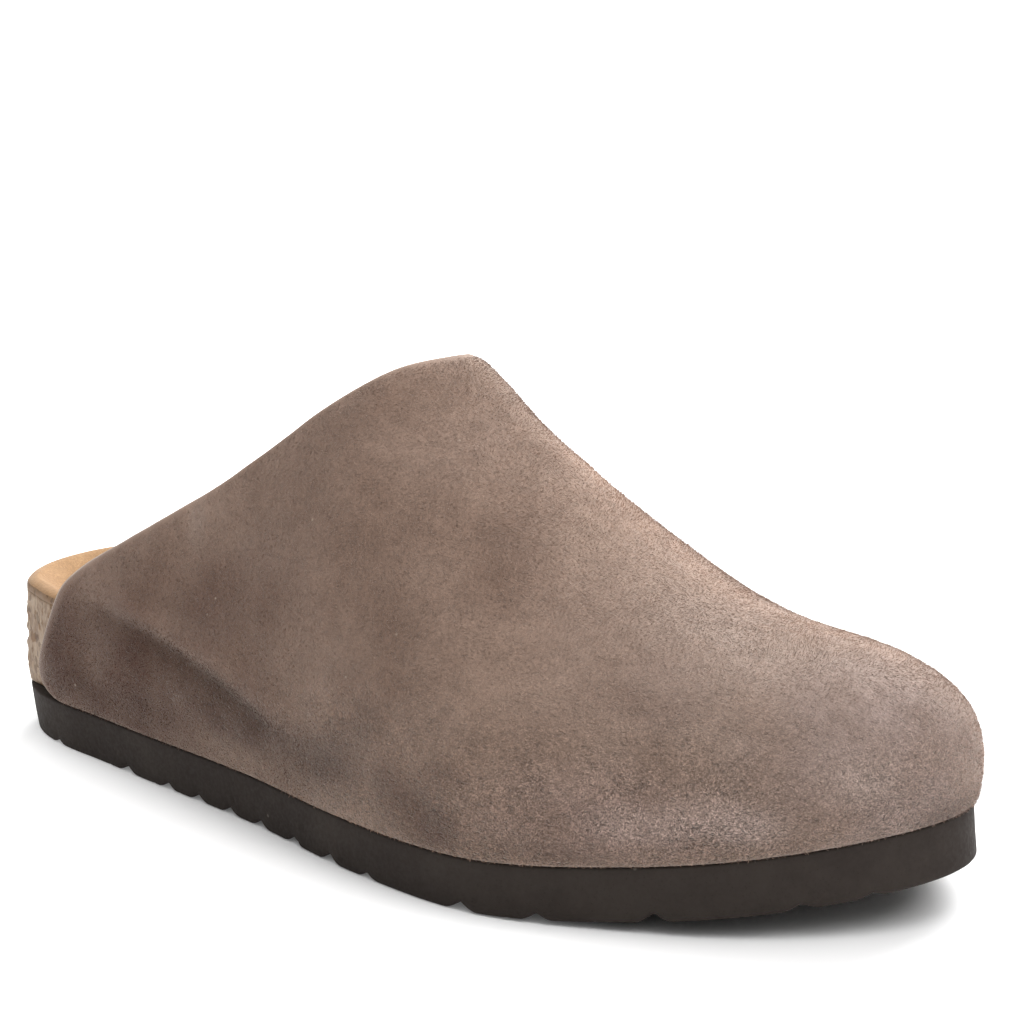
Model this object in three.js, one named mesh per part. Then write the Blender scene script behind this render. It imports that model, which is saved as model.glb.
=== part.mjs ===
// A slip-on clog for the right foot: one-piece suede upper, leather insole, cork footbed, ribbed outsole.
// Millimetres. +X points to the toe, +Y to the inner side of the foot and +Z up; the tread rests on Z = 0.
import * as THREE from 'three';

// Last: outline of the sole seen from above
const shoeLength = 278;
const ballWidth = 108.3;
const heelEndLength = 41;
const heelEndPower = 2.13;
const toeEndLength = 76;
const toeEndPower = 2.05;

// Outsole
const soleThickness = 13;
const toeSpring = 11.5;
const springFrom = 0.65;
const heelBevel = 1.8;
const heelBevelTo = 0.05;
const soleEdgeRound = 0.6;
const sideFlare = 1.5;
const treadEdgeRound = 1.1;
const notchDepth = 2.5;
const notchReach = 4.2;
const waveSwing = 3;
const waveLength = 34;
const treadColumns = 7;

// Upper
const instepRise = 103.5;
const upperWall = 2.2;
const swellHeight = 9.2;
const sideSwell = 1.5;
const toeSwell = 1.5;
const toeDomeLength = 54;
const toeDomePower = 2.4;
const tailCorner = 0.027;
const upperRings = 36;
const ringEvenness = 0.3;
const domeColumns = 28;
const skirtRows = 3;

// Footbed and insole
const heelRim = 29.3;
const archSwell = 5;
const clearance = 0.3;
const hiddenClearance = 0.4;
const insoleThickness = 1.5;
const rimRound = 3.2;
const lipDrop = 3;
const bareProud = 0.4;
const bareUntil = 0.03;
const coveredFrom = 0.066;
const loopSteps = 32;
const sideRows = 3;

// What follows from these sizes: the rim in front stays under the upper's widest line,
// and the ends of the bed's middle line follow the outline's ends
const toeRim = swellHeight - clearance;
const heelSpine = 0.88 * heelEndLength;
const toeSpine = 0.55 * toeEndLength;

// The outline's middle line and half width, as shares of the ball width
const planRows = [
  { along: 0.00, centre: 0.005, half: 0.356 },
  { along: 0.12, centre: 0.019, half: 0.345 },
  { along: 0.25, centre: -0.004, half: 0.363 },
  { along: 0.40, centre: -0.033, half: 0.384 },
  { along: 0.55, centre: -0.047, half: 0.450 },
  { along: 0.68, centre: -0.015, half: 0.498 },
  { along: 0.80, centre: 0.049, half: 0.462 },
  { along: 0.90, centre: 0.088, half: 0.430 },
  { along: 1.00, centre: 0.115, half: 0.360 },
];

// The last's ridge over the outsole's top: height as a share of the instep's, place across as a share
// of the ball width, and how square the section is on the outer and the inner side
const ridgeRows = [
  { along: 0.05, height: 0.980, aside: 0.020, outer: 2.16, inner: 2.25 },
  { along: 0.30, height: 0.982, aside: 0.035, outer: 2.04, inner: 2.10 },
  { along: 0.47, height: 1.010, aside: 0.072, outer: 2.03, inner: 2.00 },
  { along: 0.56, height: 0.834, aside: 0.055, outer: 2.05, inner: 2.07 },
  { along: 0.66, height: 0.643, aside: 0.066, outer: 2.15, inner: 2.16 },
  { along: 0.76, height: 0.473, aside: 0.070, outer: 2.20, inner: 2.25 },
  { along: 0.86, height: 0.397, aside: 0.103, outer: 2.20, inner: 2.20 },
  { along: 1.00, height: 0.357, aside: 0.125, outer: 2.20, inner: 2.20 },
];

// Where the upper is cut: share of the length by the angle up the section
const toplineRows = [
  { angle: 0, along: 0.082 },
  { angle: 15, along: 0.133 },
  { angle: 30, along: 0.258 },
  { angle: 45, along: 0.371 },
  { angle: 60, along: 0.445 },
  { angle: 75, along: 0.480 },
  { angle: 90, along: 0.492 },
  { angle: 105, along: 0.480 },
];

// The bed over the outsole's top: each rim from the toe's height (0) to the heel's (1),
// the floor as a share of the outer rim and the arch as a share of its swell
const bedRows = [
  { along: 0.00, outerRim: 1.000, innerRim: 1.000, floor: 0.63, arch: 0 },
  { along: 0.12, outerRim: 0.995, innerRim: 0.995, floor: 0.58, arch: 0 },
  { along: 0.22, outerRim: 0.966, innerRim: 0.985, floor: 0.59, arch: 0.2 },
  { along: 0.30, outerRim: 0.838, innerRim: 0.946, floor: 0.63, arch: 0.6 },
  { along: 0.38, outerRim: 0.632, innerRim: 0.838, floor: 0.68, arch: 1 },
  { along: 0.46, outerRim: 0.436, innerRim: 0.672, floor: 0.69, arch: 0.9 },
  { along: 0.54, outerRim: 0.319, innerRim: 0.446, floor: 0.66, arch: 0.4 },
  { along: 0.62, outerRim: 0.211, innerRim: 0.240, floor: 0.63, arch: 0.1 },
  { along: 0.70, outerRim: 0.083, innerRim: 0.083, floor: 0.66, arch: 0 },
  { along: 0.79, outerRim: 0.000, innerRim: 0.000, floor: 0.82, arch: 0 },
  { along: 0.87, outerRim: 0.000, innerRim: 0.000, floor: 0.69, arch: 0 },
  { along: 1.00, outerRim: 0.000, innerRim: 0.000, floor: 0.72, arch: 0 },
];

// The insole's rolled rim: inset as a share of its round, drop as a share of its lip
const rimRows = [
  { inset: 0.00, drop: 1.00 },
  { inset: 0.00, drop: 0.66 },
  { inset: 0.18, drop: 0.27 },
  { inset: 0.56, drop: 0.04 },
  { inset: 1.00, drop: 0.00 },
];

// From the rim to the middle of the bed: share of the way in, and share of the wall's height left
const bowlRows = [
  { share: 0.10, rise: 0.80 },
  { share: 0.24, rise: 0.42 },
  { share: 0.42, rise: 0.14 },
  { share: 0.68, rise: 0.02 },
  { share: 1.00, rise: 0.00 },
];

// The outsole's side at the tread: how far it stands out, as a share of its flare
const flareRows = [
  { along: 0.00, out: -1.00 },
  { along: 0.25, out: -0.80 },
  { along: 0.60, out: -0.45 },
  { along: 0.85, out: 0.25 },
  { along: 1.00, out: 0.75 },
];

// Notches between the lugs of the tread, as shares of the deepest and widest one
const notchRows = [
  { along: 0.100, depth: 0.60, reach: 0.76 },
  { along: 0.215, depth: 0.88, reach: 1.00 },
  { along: 0.278, depth: 0.84, reach: 0.90 },
  { along: 0.323, depth: 0.80, reach: 0.90 },
  { along: 0.369, depth: 0.84, reach: 0.90 },
  { along: 0.414, depth: 0.88, reach: 0.90 },
  { along: 0.465, depth: 0.92, reach: 0.95 },
  { along: 0.518, depth: 1.00, reach: 1.00 },
  { along: 0.568, depth: 0.64, reach: 0.80 },
  { along: 0.675, depth: 0.92, reach: 1.05 },
  { along: 0.741, depth: 0.72, reach: 0.86 },
  { along: 0.828, depth: 0.96, reach: 0.82 },
  { along: 0.925, depth: 0.60, reach: 0.72 },
  { along: 0.965, depth: 0.44, reach: 0.52 },
];
const notchSteps = [1, 0.45, 0, -0.45, -1];

// Stations of the outsole near its two ends, and the widest and narrowest step, as shares of the length
const heelSteps = [0, 0.0015, 0.005, 0.0115, 0.022, 0.036, 0.054, 0.072];
const toeSteps = [0, 0.0013, 0.0045, 0.010, 0.018, 0.031, 0.050];
const widestStep = 0.033;
const narrowestStep = 0.0012;

const outer = -1;
const inner = 1;

// Small tools
function clamp(value, low, high) {
  return Math.min(high, Math.max(low, value));
}

function blend(from, to, share) {
  return from + (to - from) * share;
}

function blendPoint(from, to, share) {
  return from.map((value, axis) => blend(value, to[axis], share));
}

function easeBetween(low, high, value) {
  const share = clamp((value - low) / (high - low), 0, 1);
  return share * share * (3 - 2 * share);
}

// A smooth curve through the rows of a table
function smooth(rows, column, at, key = 'along') {
  const last = rows.length - 1;
  const place = clamp(at, rows[0][key], rows[last][key]);
  const slope = (from, to) => (rows[to][column] - rows[from][column]) / (rows[to][key] - rows[from][key]);
  let low = 0;
  while (low < last - 1 && rows[low + 1][key] <= place) low += 1;
  const span = rows[low + 1][key] - rows[low][key];
  const t = (place - rows[low][key]) / span;
  const lowSlope = slope(Math.max(low - 1, 0), low + 1);
  const highSlope = slope(low, Math.min(low + 2, last));
  return (1 + 2 * t) * (1 - t) ** 2 * rows[low][column] + t * (1 - t) ** 2 * span * lowSlope
    + t * t * (3 - 2 * t) * rows[low + 1][column] + t * t * (t - 1) * span * highSlope;
}

// The outline seen from above
function endNarrowing(x) {
  const heel = clamp((heelEndLength - x) / heelEndLength, 0, 1);
  const toe = clamp((x - (shoeLength - toeEndLength)) / toeEndLength, 0, 1);
  return (1 - heel ** heelEndPower) ** (1 / heelEndPower) * (1 - toe ** toeEndPower) ** (1 / toeEndPower);
}

function outlineY(along, side) {
  const half = smooth(planRows, 'half', along) * endNarrowing(along * shoeLength);
  return ballWidth * (smooth(planRows, 'centre', along) + side * half);
}

function outlineNormal(along, side) {
  if (along <= 0) return [-1, 0];
  if (along >= 1) return [1, 0];
  const from = Math.max(0, along - 1e-4);
  const to = Math.min(1, along + 1e-4);
  const dx = (to - from) * shoeLength;
  const dy = outlineY(to, side) - outlineY(from, side);
  const size = Math.hypot(dx, dy);
  return [(-dy * side) / size, (dx * side) / size];
}

function outlinePoint(along, side, out, z) {
  const normal = outlineNormal(along, side);
  return [along * shoeLength + normal[0] * out, outlineY(along, side) + normal[1] * out, z];
}

// Heights of the sole along the shoe
function springAt(along) {
  return toeSpring * Math.max(0, (along - springFrom) / (1 - springFrom)) ** 2;
}

function groundAt(along) {
  return springAt(along) + heelBevel * Math.max(0, (heelBevelTo - along) / heelBevelTo) ** 2;
}

function soleTopAt(along) {
  return springAt(along) + soleThickness;
}

// The upper's outer face: a dome over the widest line, and a skirt from there down to the sole
function swellAt(along) {
  return blend(sideSwell, toeSwell, easeBetween(0.72, 1, along));
}

function ridgePoint(along) {
  const tip = shoeLength + swellAt(along);
  const x = along * tip;
  const base = soleTopAt(along) + swellHeight;
  const dome = clamp((x - (tip - toeDomeLength)) / toeDomeLength, 0, 1);
  const rise = instepRise * smooth(ridgeRows, 'height', along) - swellHeight;
  const z = base + rise * (1 - dome ** toeDomePower) ** (1 / toeDomePower);
  const low = outlinePoint(along, outer, swellAt(along), 0)[1];
  const high = outlinePoint(along, inner, swellAt(along), 0)[1];
  const room = Math.max(0.3 * (high - low), 1e-6);
  const middle = (low + high) / 2;
  const y = middle + room * Math.tanh((smooth(ridgeRows, 'aside', along) * ballWidth - middle) / room);
  return [x, y, z];
}

function domePoint(along, angle) {
  const side = angle <= 90 ? outer : inner;
  const square = smooth(ridgeRows, side === outer ? 'outer' : 'inner', along);
  const edge = outlinePoint(along, side, swellAt(along), soleTopAt(along) + swellHeight);
  const ridge = ridgePoint(along);
  const radians = (angle * Math.PI) / 180;
  const level = Math.abs(Math.cos(radians));
  const sideways = level < 1e-9 ? 0 : level ** (2 / square);
  const upwards = Math.abs(Math.sin(radians)) ** (2 / square);
  return [
    blend(ridge[0], edge[0], sideways),
    blend(ridge[1], edge[1], sideways),
    blend(edge[2], ridge[2], upwards),
  ];
}

function skirtPoint(along, side, down) {
  const out = swellAt(along) * Math.sqrt(Math.max(0, 1 - down * down));
  const z = soleTopAt(along) + clearance + (swellHeight - clearance) * (1 - down);
  return outlinePoint(along, side, out, z);
}

// Sheets and closed solids
function weld(points, faces) {
  const places = new Map();
  const kept = [];
  const index = points.map((point) => {
    const key = point.map((value) => Math.round(value * 2000)).join(' ');
    if (!places.has(key)) {
      places.set(key, kept.length);
      kept.push(point);
    }
    return places.get(key);
  });
  const named = faces.map((face) => face.map((corner) => index[corner]));
  const whole = named.filter(([a, b, c]) => a !== b && b !== c && c !== a);
  return { points: kept, faces: whole, index };
}

function distance(from, to) {
  return Math.hypot(from[0] - to[0], from[1] - to[1], from[2] - to[2]);
}

function splitQuad(points, a, b, c, d) {
  if (distance(points[a], points[c]) <= distance(points[b], points[d])) return [[a, b, c], [a, c, d]];
  return [[a, b, d], [b, c, d]];
}

function gridFaces(points, rowCount, columnCount, looped, start = 0) {
  const faces = [];
  const steps = looped ? columnCount : columnCount - 1;
  for (let row = 0; row + 1 < rowCount; row += 1) {
    for (let column = 0; column < steps; column += 1) {
      const next = (column + 1) % columnCount;
      const a = start + row * columnCount + column;
      const b = start + row * columnCount + next;
      faces.push(...splitQuad(points, a, b, b + columnCount, a + columnCount));
    }
  }
  return faces;
}

function pointNormals(points, faces) {
  const normals = points.map(() => [0, 0, 0]);
  for (const [a, b, c] of faces) {
    const u = points[b].map((value, axis) => value - points[a][axis]);
    const v = points[c].map((value, axis) => value - points[a][axis]);
    const cross = [u[1] * v[2] - u[2] * v[1], u[2] * v[0] - u[0] * v[2], u[0] * v[1] - u[1] * v[0]];
    for (const corner of [a, b, c]) {
      for (let axis = 0; axis < 3; axis += 1) normals[corner][axis] += cross[axis];
    }
  }
  return normals.map((normal) => {
    const size = Math.hypot(...normal) || 1;
    return normal.map((value) => value / size);
  });
}

function movedIn(sheet, depth, levelCorners) {
  const normals = pointNormals(sheet.points, sheet.faces);
  return sheet.points.map((point, corner) => {
    const normal = normals[corner];
    if (!levelCorners.has(corner)) return point.map((value, axis) => value - normal[axis] * depth);
    const size = Math.hypot(normal[0], normal[1]);
    return [point[0] - (normal[0] / size) * depth, point[1] - (normal[1] / size) * depth, point[2]];
  });
}

function thickened(sheet, depth, levelCorners) {
  const count = sheet.points.length;
  const points = [...sheet.points, ...movedIn(sheet, depth, levelCorners)];
  const faces = [...sheet.faces, ...sheet.faces.map(([a, b, c]) => [a + count, c + count, b + count])];
  const used = new Set();
  for (const [a, b, c] of sheet.faces) {
    for (const edge of [[a, b], [b, c], [c, a]]) used.add(edge.join(' '));
  }
  for (const [a, b, c] of sheet.faces) {
    for (const [from, to] of [[a, b], [b, c], [c, a]]) {
      if (used.has([to, from].join(' '))) continue;
      faces.push([to, from, from + count], [to, from + count, to + count]);
    }
  }
  return { points, faces };
}

// Upper: rings from the toe's tip back to the cut edge, each from the sole on one side over to the other
function makeUpper() {
  const points = [];
  const columnCount = domeColumns + 1 + 2 * skirtRows;
  for (let ring = 0; ring <= upperRings; ring += 1) {
    const step = ring / upperRings;
    const back = ((1 + ringEvenness) * step * step) / (step + ringEvenness);
    const reach = (cut) => 1 - (1 - cut) * back;
    const skirtCut = (down) => toplineRows[0].along + tailCorner * down ** 3;
    for (let row = skirtRows; row >= 1; row -= 1) {
      points.push(skirtPoint(reach(skirtCut(row / skirtRows)), outer, row / skirtRows));
    }
    for (let column = 0; column <= domeColumns; column += 1) {
      const angle = (180 * column) / domeColumns;
      const cut = smooth(toplineRows, 'along', Math.min(angle, 180 - angle), 'angle');
      points.push(domePoint(reach(cut), angle));
    }
    for (let row = 1; row <= skirtRows; row += 1) {
      points.push(skirtPoint(reach(skirtCut(row / skirtRows)), inner, row / skirtRows));
    }
  }
  const sheet = weld(points, gridFaces(points, upperRings + 1, columnCount, false));
  const hem = new Set();
  for (let ring = 0; ring <= upperRings; ring += 1) {
    hem.add(sheet.index[ring * columnCount]);
    hem.add(sheet.index[(ring + 1) * columnCount - 1]);
  }
  return thickened(sheet, upperWall, hem);
}

// Outer limit of footbed and insole: under the upper a clearance inside it, at the heel flush with the sole
function bedSide(along, side, z) {
  const up = clamp((z - soleTopAt(along) - clearance) / (swellHeight - clearance), 0, 1);
  const bare = 1 - easeBetween(bareUntil, coveredFrom, along);
  const covered = swellAt(along) * up * (2 - up) - upperWall - hiddenClearance;
  const out = blend(covered, bareProud, bare);
  const ridge = ridgePoint(along);
  const base = soleTopAt(along) + swellHeight;
  const point = outlinePoint(along, side, out, z);
  if (z <= base || ridge[2] - base < 1) return point;
  const square = smooth(ridgeRows, side === outer ? 'outer' : 'inner', along);
  const lean = (1 - ((z - base) / (ridge[2] - base)) ** square) ** (1 / square);
  return [blend(ridge[0], point[0], lean), blend(ridge[1], point[1], lean), z];
}

// The places of a loop around the shoe: outer side heel to toe, then inner side back
function loopPlaces() {
  const places = [];
  for (let step = 0; step < 2 * loopSteps; step += 1) {
    const side = step <= loopSteps ? outer : inner;
    places.push({ along: (1 - Math.cos((Math.PI * step) / loopSteps)) / 2, side });
  }
  return places;
}

function rimHeight(along, side) {
  const share = smooth(bedRows, side === outer ? 'outerRim' : 'innerRim', along);
  return soleTopAt(along) + blend(toeRim, heelRim, share);
}

function rimPoint(along, side, inset, drop) {
  const z = rimHeight(along, side) - drop * lipDrop;
  const edge = bedSide(along, side, z);
  const normal = outlineNormal(along, side);
  return [edge[0] - normal[0] * inset * rimRound, edge[1] - normal[1] * inset * rimRound, z];
}

function bowlPoint(along, side, share, rise) {
  const rim = rimPoint(along, side, 1, 0);
  const spineX = clamp(along * shoeLength, heelSpine, shoeLength - toeSpine);
  const spineAlong = spineX / shoeLength;
  const spineY = (outlineY(spineAlong, outer) + outlineY(spineAlong, inner)) / 2;
  const place = blendPoint(rim, [spineX, spineY, 0], share);
  const here = clamp(place[0] / shoeLength, 0, 1);
  const wallHeight = rimHeight(here, outer) - soleTopAt(here);
  const floor = soleTopAt(here) + smooth(bedRows, 'floor', here) * wallHeight;
  const swell = side === inner ? archSwell * smooth(bedRows, 'arch', here) : 0;
  const z = blend(floor, rim[2], rise) + swell * Math.sin(Math.PI * share) ** 2;
  return [place[0], place[1], z];
}

function bedSheet() {
  const places = loopPlaces();
  const points = [];
  for (const { inset, drop } of rimRows) {
    for (const { along, side } of places) points.push(rimPoint(along, side, inset, drop));
  }
  for (const { share, rise } of bowlRows) {
    for (const { along, side } of places) points.push(bowlPoint(along, side, share, rise));
  }
  const rowCount = rimRows.length + bowlRows.length;
  return weld(points, gridFaces(points, rowCount, places.length, true));
}

function lipCorners(sheet) {
  return new Set(loopPlaces().map((place, step) => sheet.index[step]));
}

function makeInsole() {
  const sheet = bedSheet();
  return thickened(sheet, insoleThickness, lipCorners(sheet));
}

// Footbed: sides up from the outsole, a ledge under the insole's lip, and the bed under the insole
function makeFootbed() {
  const sheet = bedSheet();
  const under = movedIn(sheet, insoleThickness + clearance, lipCorners(sheet));
  const places = loopPlaces();
  const count = places.length;
  const points = [];
  for (let row = 0; row <= sideRows; row += 1) {
    for (const { along, side } of places) {
      const low = soleTopAt(along) + clearance;
      const high = rimHeight(along, side) - lipDrop - clearance;
      points.push(bedSide(along, side, blend(low, high, row / sideRows)));
    }
  }
  places.forEach((place, step) => {
    const lip = under[sheet.index[step]];
    points.push([lip[0], lip[1], lip[2] - clearance]);
  });
  for (const corner of sheet.index) points.push(under[corner]);
  const rowCount = points.length / count;
  const faces = gridFaces(points, rowCount, count, true);
  for (let step = 0; step < loopSteps; step += 1) {
    faces.push(...splitQuad(points, step, (count - step) % count, count - step - 1, step + 1));
  }
  return { points, faces };
}

// Outsole: stations along the shoe, closer together at the notches
function treadAt(x) {
  let height = 0;
  for (const { along, depth, reach } of notchRows) {
    const off = Math.abs(x - along * shoeLength) / (reach * notchReach);
    if (off < 1) height = Math.max(height, depth * notchDepth * (1 - off) ** 1.7);
  }
  return height;
}

function soleStations() {
  const wanted = heelSteps.map((share) => share * shoeLength);
  for (const { along, reach } of notchRows) {
    for (const off of notchSteps) wanted.push(along * shoeLength + off * reach * notchReach);
  }
  for (const share of toeSteps) wanted.push((1 - share) * shoeLength);
  wanted.sort((a, b) => a - b);
  const stations = [0];
  for (const x of wanted) {
    const before = stations[stations.length - 1];
    if (x - before < narrowestStep * shoeLength || x > shoeLength) continue;
    const parts = Math.ceil((x - before) / (widestStep * shoeLength));
    for (let part = 1; part <= parts; part += 1) stations.push(blend(before, x, part / parts));
  }
  stations[stations.length - 1] = shoeLength;
  return stations;
}

// How far a point of the tread slides along the shoe, so that its ribs run in waves
function waveAt(place, low, high, station) {
  const across = (place - low) / Math.max(high - low, 1e-6);
  const room = Math.min(1, (high - low) / (0.55 * ballWidth));
  const ends = heelSteps[heelSteps.length - 1] * shoeLength;
  if (station < ends || station > shoeLength - ends) return 0;
  return waveSwing * Math.sin(Math.PI * across) * room * Math.sin((2 * Math.PI * place) / waveLength);
}

function makeOutsole() {
  const stations = soleStations();
  const last = stations.length - 1;
  const count = 2 * last;
  const places = [];
  for (let step = 0; step < count; step += 1) {
    const side = step <= last ? outer : inner;
    places.push({ x: stations[side === outer ? step : count - step], side });
  }
  const points = [];
  const row = (make) => places.forEach(({ x, side }) => points.push(make(x / shoeLength, side, x)));
  const flare = (along) => sideFlare * smooth(flareRows, 'out', along);
  const foot = (along, x) => groundAt(along) + treadAt(x);
  row((along, side, x) => outlinePoint(along, side, flare(along) - 0.8 * treadEdgeRound, foot(along, x)));
  row((along, side, x) => outlinePoint(along, side, flare(along), foot(along, x) + treadEdgeRound));
  row((along, side) => outlinePoint(along, side, flare(along) / 2, groundAt(along) + 0.46 * soleThickness));
  row((along, side) => outlinePoint(along, side, 0, soleTopAt(along) - soleEdgeRound));
  row((along, side) => outlinePoint(along, side, -soleEdgeRound, soleTopAt(along)));
  const faces = gridFaces(points, 5, count, true);
  const topStart = 4 * count;
  for (let step = 0; step < last; step += 1) {
    const across = (count - step) % count;
    const acrossNext = count - step - 1;
    const corners = [step, step + 1, acrossNext, across].map((corner) => corner + topStart);
    faces.push(...splitQuad(points, ...corners));
  }
  const gridStart = points.length;
  for (let step = 0; step <= last; step += 1) {
    const low = points[step];
    const high = points[(count - step) % count];
    const station = stations[step];
    for (let column = 0; column <= treadColumns; column += 1) {
      const place = blendPoint(low, high, column / treadColumns);
      const shift = waveAt(place[1], low[1], high[1], station);
      const lift = groundAt((station + shift) / shoeLength) - groundAt(station / shoeLength);
      points.push([place[0] + shift, place[1], low[2] + lift]);
    }
  }
  for (let step = 0; step < last; step += 1) {
    for (let column = 0; column < treadColumns; column += 1) {
      const a = gridStart + step * (treadColumns + 1) + column;
      faces.push(...splitQuad(points, a, a + 1, a + treadColumns + 2, a + treadColumns + 1));
    }
  }
  return { points, faces };
}

// Meshes, with the origin under the middle of the whole shoe
const pieces = [
  { name: 'outsole', solid: makeOutsole(), color: 0x37322f, roughness: 0.75 },
  { name: 'footbed', solid: makeFootbed(), color: 0xa98a62, roughness: 0.9 },
  { name: 'insole', solid: makeInsole(), color: 0xcfa67a, roughness: 0.85 },
  { name: 'upper', solid: makeUpper(), color: 0x8a766b, roughness: 0.95 },
];

function middleOf(axis) {
  const values = pieces.flatMap(({ solid }) => solid.points.map((point) => point[axis]));
  const low = values.reduce((least, value) => Math.min(least, value));
  const high = values.reduce((most, value) => Math.max(most, value));
  return (low + high) / 2;
}

const centreX = middleOf(0);
const centreY = middleOf(1);

function makeMesh({ name, solid, color, roughness }) {
  const whole = weld(solid.points, solid.faces);
  const geometry = new THREE.BufferGeometry();
  const places = whole.points.flatMap(([x, y, z]) => [x - centreX, y - centreY, z]);
  geometry.setAttribute('position', new THREE.Float32BufferAttribute(places, 3));
  geometry.setIndex(whole.faces.flat());
  geometry.computeVertexNormals();
  const material = new THREE.MeshStandardMaterial({ color, roughness, metalness: 0 });
  const mesh = new THREE.Mesh(geometry, material);
  mesh.name = name;
  return mesh;
}

const clog = new THREE.Group();
clog.name = 'clog';
for (const piece of pieces) clog.add(makeMesh(piece));

export default clog;
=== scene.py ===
import math

import bpy
import numpy as np
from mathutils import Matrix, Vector


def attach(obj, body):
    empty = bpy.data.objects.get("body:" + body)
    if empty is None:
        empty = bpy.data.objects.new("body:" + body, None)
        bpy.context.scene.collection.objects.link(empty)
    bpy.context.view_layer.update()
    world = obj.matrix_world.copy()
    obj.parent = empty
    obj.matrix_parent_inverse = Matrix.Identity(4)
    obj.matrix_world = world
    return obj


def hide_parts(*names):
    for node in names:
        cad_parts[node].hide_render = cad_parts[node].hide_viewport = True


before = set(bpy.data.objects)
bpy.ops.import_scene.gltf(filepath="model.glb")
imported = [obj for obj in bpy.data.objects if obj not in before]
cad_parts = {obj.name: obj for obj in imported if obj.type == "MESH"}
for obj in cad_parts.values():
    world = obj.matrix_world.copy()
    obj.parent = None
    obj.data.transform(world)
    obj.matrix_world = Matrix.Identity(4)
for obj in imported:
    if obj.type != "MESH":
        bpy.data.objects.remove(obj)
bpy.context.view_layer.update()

# Sizes of the shoe in millimetres, from the back of the heel, as in the solids
SHOE_LENGTH = 278.0
BALL_WIDTH = 108.3
HEEL_END = 41.0
HEEL_POWER = 2.13
TOE_END = 76.0
TOE_POWER = 2.05
SOLE_THICKNESS = 13.0
TOE_SPRING = 11.5
SPRING_FROM = 0.65
HEEL_BEVEL = 1.8
HEEL_BEVEL_TO = 0.05
EDGE_ROUND = 0.6
SIDE_FLARE = 1.5
TREAD_ROUND = 1.1
NOTCH_DEPTH = 2.5
NOTCH_REACH = 4.2
WAVE_SWING = 3.0
WAVE_LENGTH = 34.0
INSTEP_RISE = 103.5
UPPER_WALL = 2.2
SWELL_HEIGHT = 9.2
SIDE_SWELL = 1.5
TOE_SWELL = 1.5
TOE_DOME = 54.0
DOME_POWER = 2.4
TAIL_CORNER = 0.027
HEEL_RIM = 29.3
ARCH_SWELL = 5.0
CLEARANCE = 0.3
HIDDEN_CLEARANCE = 0.4
INSOLE_THICKNESS = 1.5
RIM_ROUND = 3.2
LIP_DROP = 3.0
BARE_PROUD = 0.4
BARE_UNTIL = 0.03
COVERED_FROM = 0.066
TOE_RIM = SWELL_HEIGHT - CLEARANCE
HEEL_SPINE = 0.88 * HEEL_END
TOE_SPINE = 0.55 * TOE_END
CENTRE = (139.55, -0.909, 0.0)
OUTER, INNER = -1, 1

# Finish of the dressed pieces in millimetres and shares: the cork's gap under the lip, the wear of
# the insole, the rounding of the cut edge, the roll of the opening, the nicks of the sole, the
# folds of the leather and the painted highlight along its ridge
UNDER_LIP = 0.06
LIP_ROUND_SHARE = 0.66
WORN_DEPTH = 0.35
EDGE_DRAWN_IN = (0.75, 0.2)
EDGE_BULGE = 0.45
OPENING_ROLL = 1.1
NICK_DEPTH = 0.5
TREAD_END = 0.072
WALL_MIDDLE = 0.46
RIDGE_PAINTED_HIGHLIGHT = 1.35
RIDGE_DRAWN_IN = 1.1
INSTEP_SWELL = 0.9
SLACK_WAVES = [(61.0, 0.28), (37.0, 0.18), (19.0, 0.07)]

# Fineness of the meshes: rows and columns of the sheets
UPPER_RINGS, UPPER_COLUMNS, SKIRT_COLUMNS = 288, 180, 12
INSIDE_SKIP = 3
BED_STEPS, LIP_ROWS, ROUND_ROWS = 160, 3, 8
INSOLE_ROWS, FOOTBED_ROWS, CORK_ROWS = 40, 20, 36
CORK_LIP_ROWS = 5
SOLE_STATIONS, TREAD_COLUMNS, WALL_ROWS = 330, 56, 4
NICKED_ROWS = 2 * WALL_ROWS + 1
WAVES_IN_GRAIN = 14

# The camera that was fitted to the photograph: degrees, the shoe's millimetres, metres and pixels
CAMERA_AROUND, CAMERA_ABOVE = 38.147, 13.8
CAMERA_TARGET = (93.4, 84.2, 52.2)
CAMERA_AWAY = 0.728379
FOCAL_PIXELS, PICTURE_PIXELS = 2542.967, 1024
SENSOR_WIDTH = 36

PLAN = dict(
    at=[0.00, 0.12, 0.25, 0.40, 0.55, 0.68, 0.80, 0.90, 1.00],
    centre=[0.005, 0.019, -0.004, -0.033, -0.047, -0.015, 0.049, 0.088, 0.115],
    half=[0.356, 0.345, 0.363, 0.384, 0.450, 0.498, 0.462, 0.430, 0.360])
RIDGE = dict(
    at=[0.05, 0.30, 0.47, 0.56, 0.66, 0.76, 0.86, 1.00],
    height=[0.980, 0.982, 1.010, 0.834, 0.643, 0.473, 0.397, 0.357],
    aside=[0.020, 0.035, 0.072, 0.055, 0.066, 0.070, 0.103, 0.125],
    outer=[2.16, 2.04, 2.03, 2.05, 2.15, 2.20, 2.20, 2.20],
    inner=[2.25, 2.10, 2.00, 2.07, 2.16, 2.25, 2.20, 2.20])
TOPLINE = dict(
    at=[0, 15, 30, 45, 60, 75, 90, 105],
    along=[0.082, 0.133, 0.258, 0.371, 0.445, 0.480, 0.492, 0.480])
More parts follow.
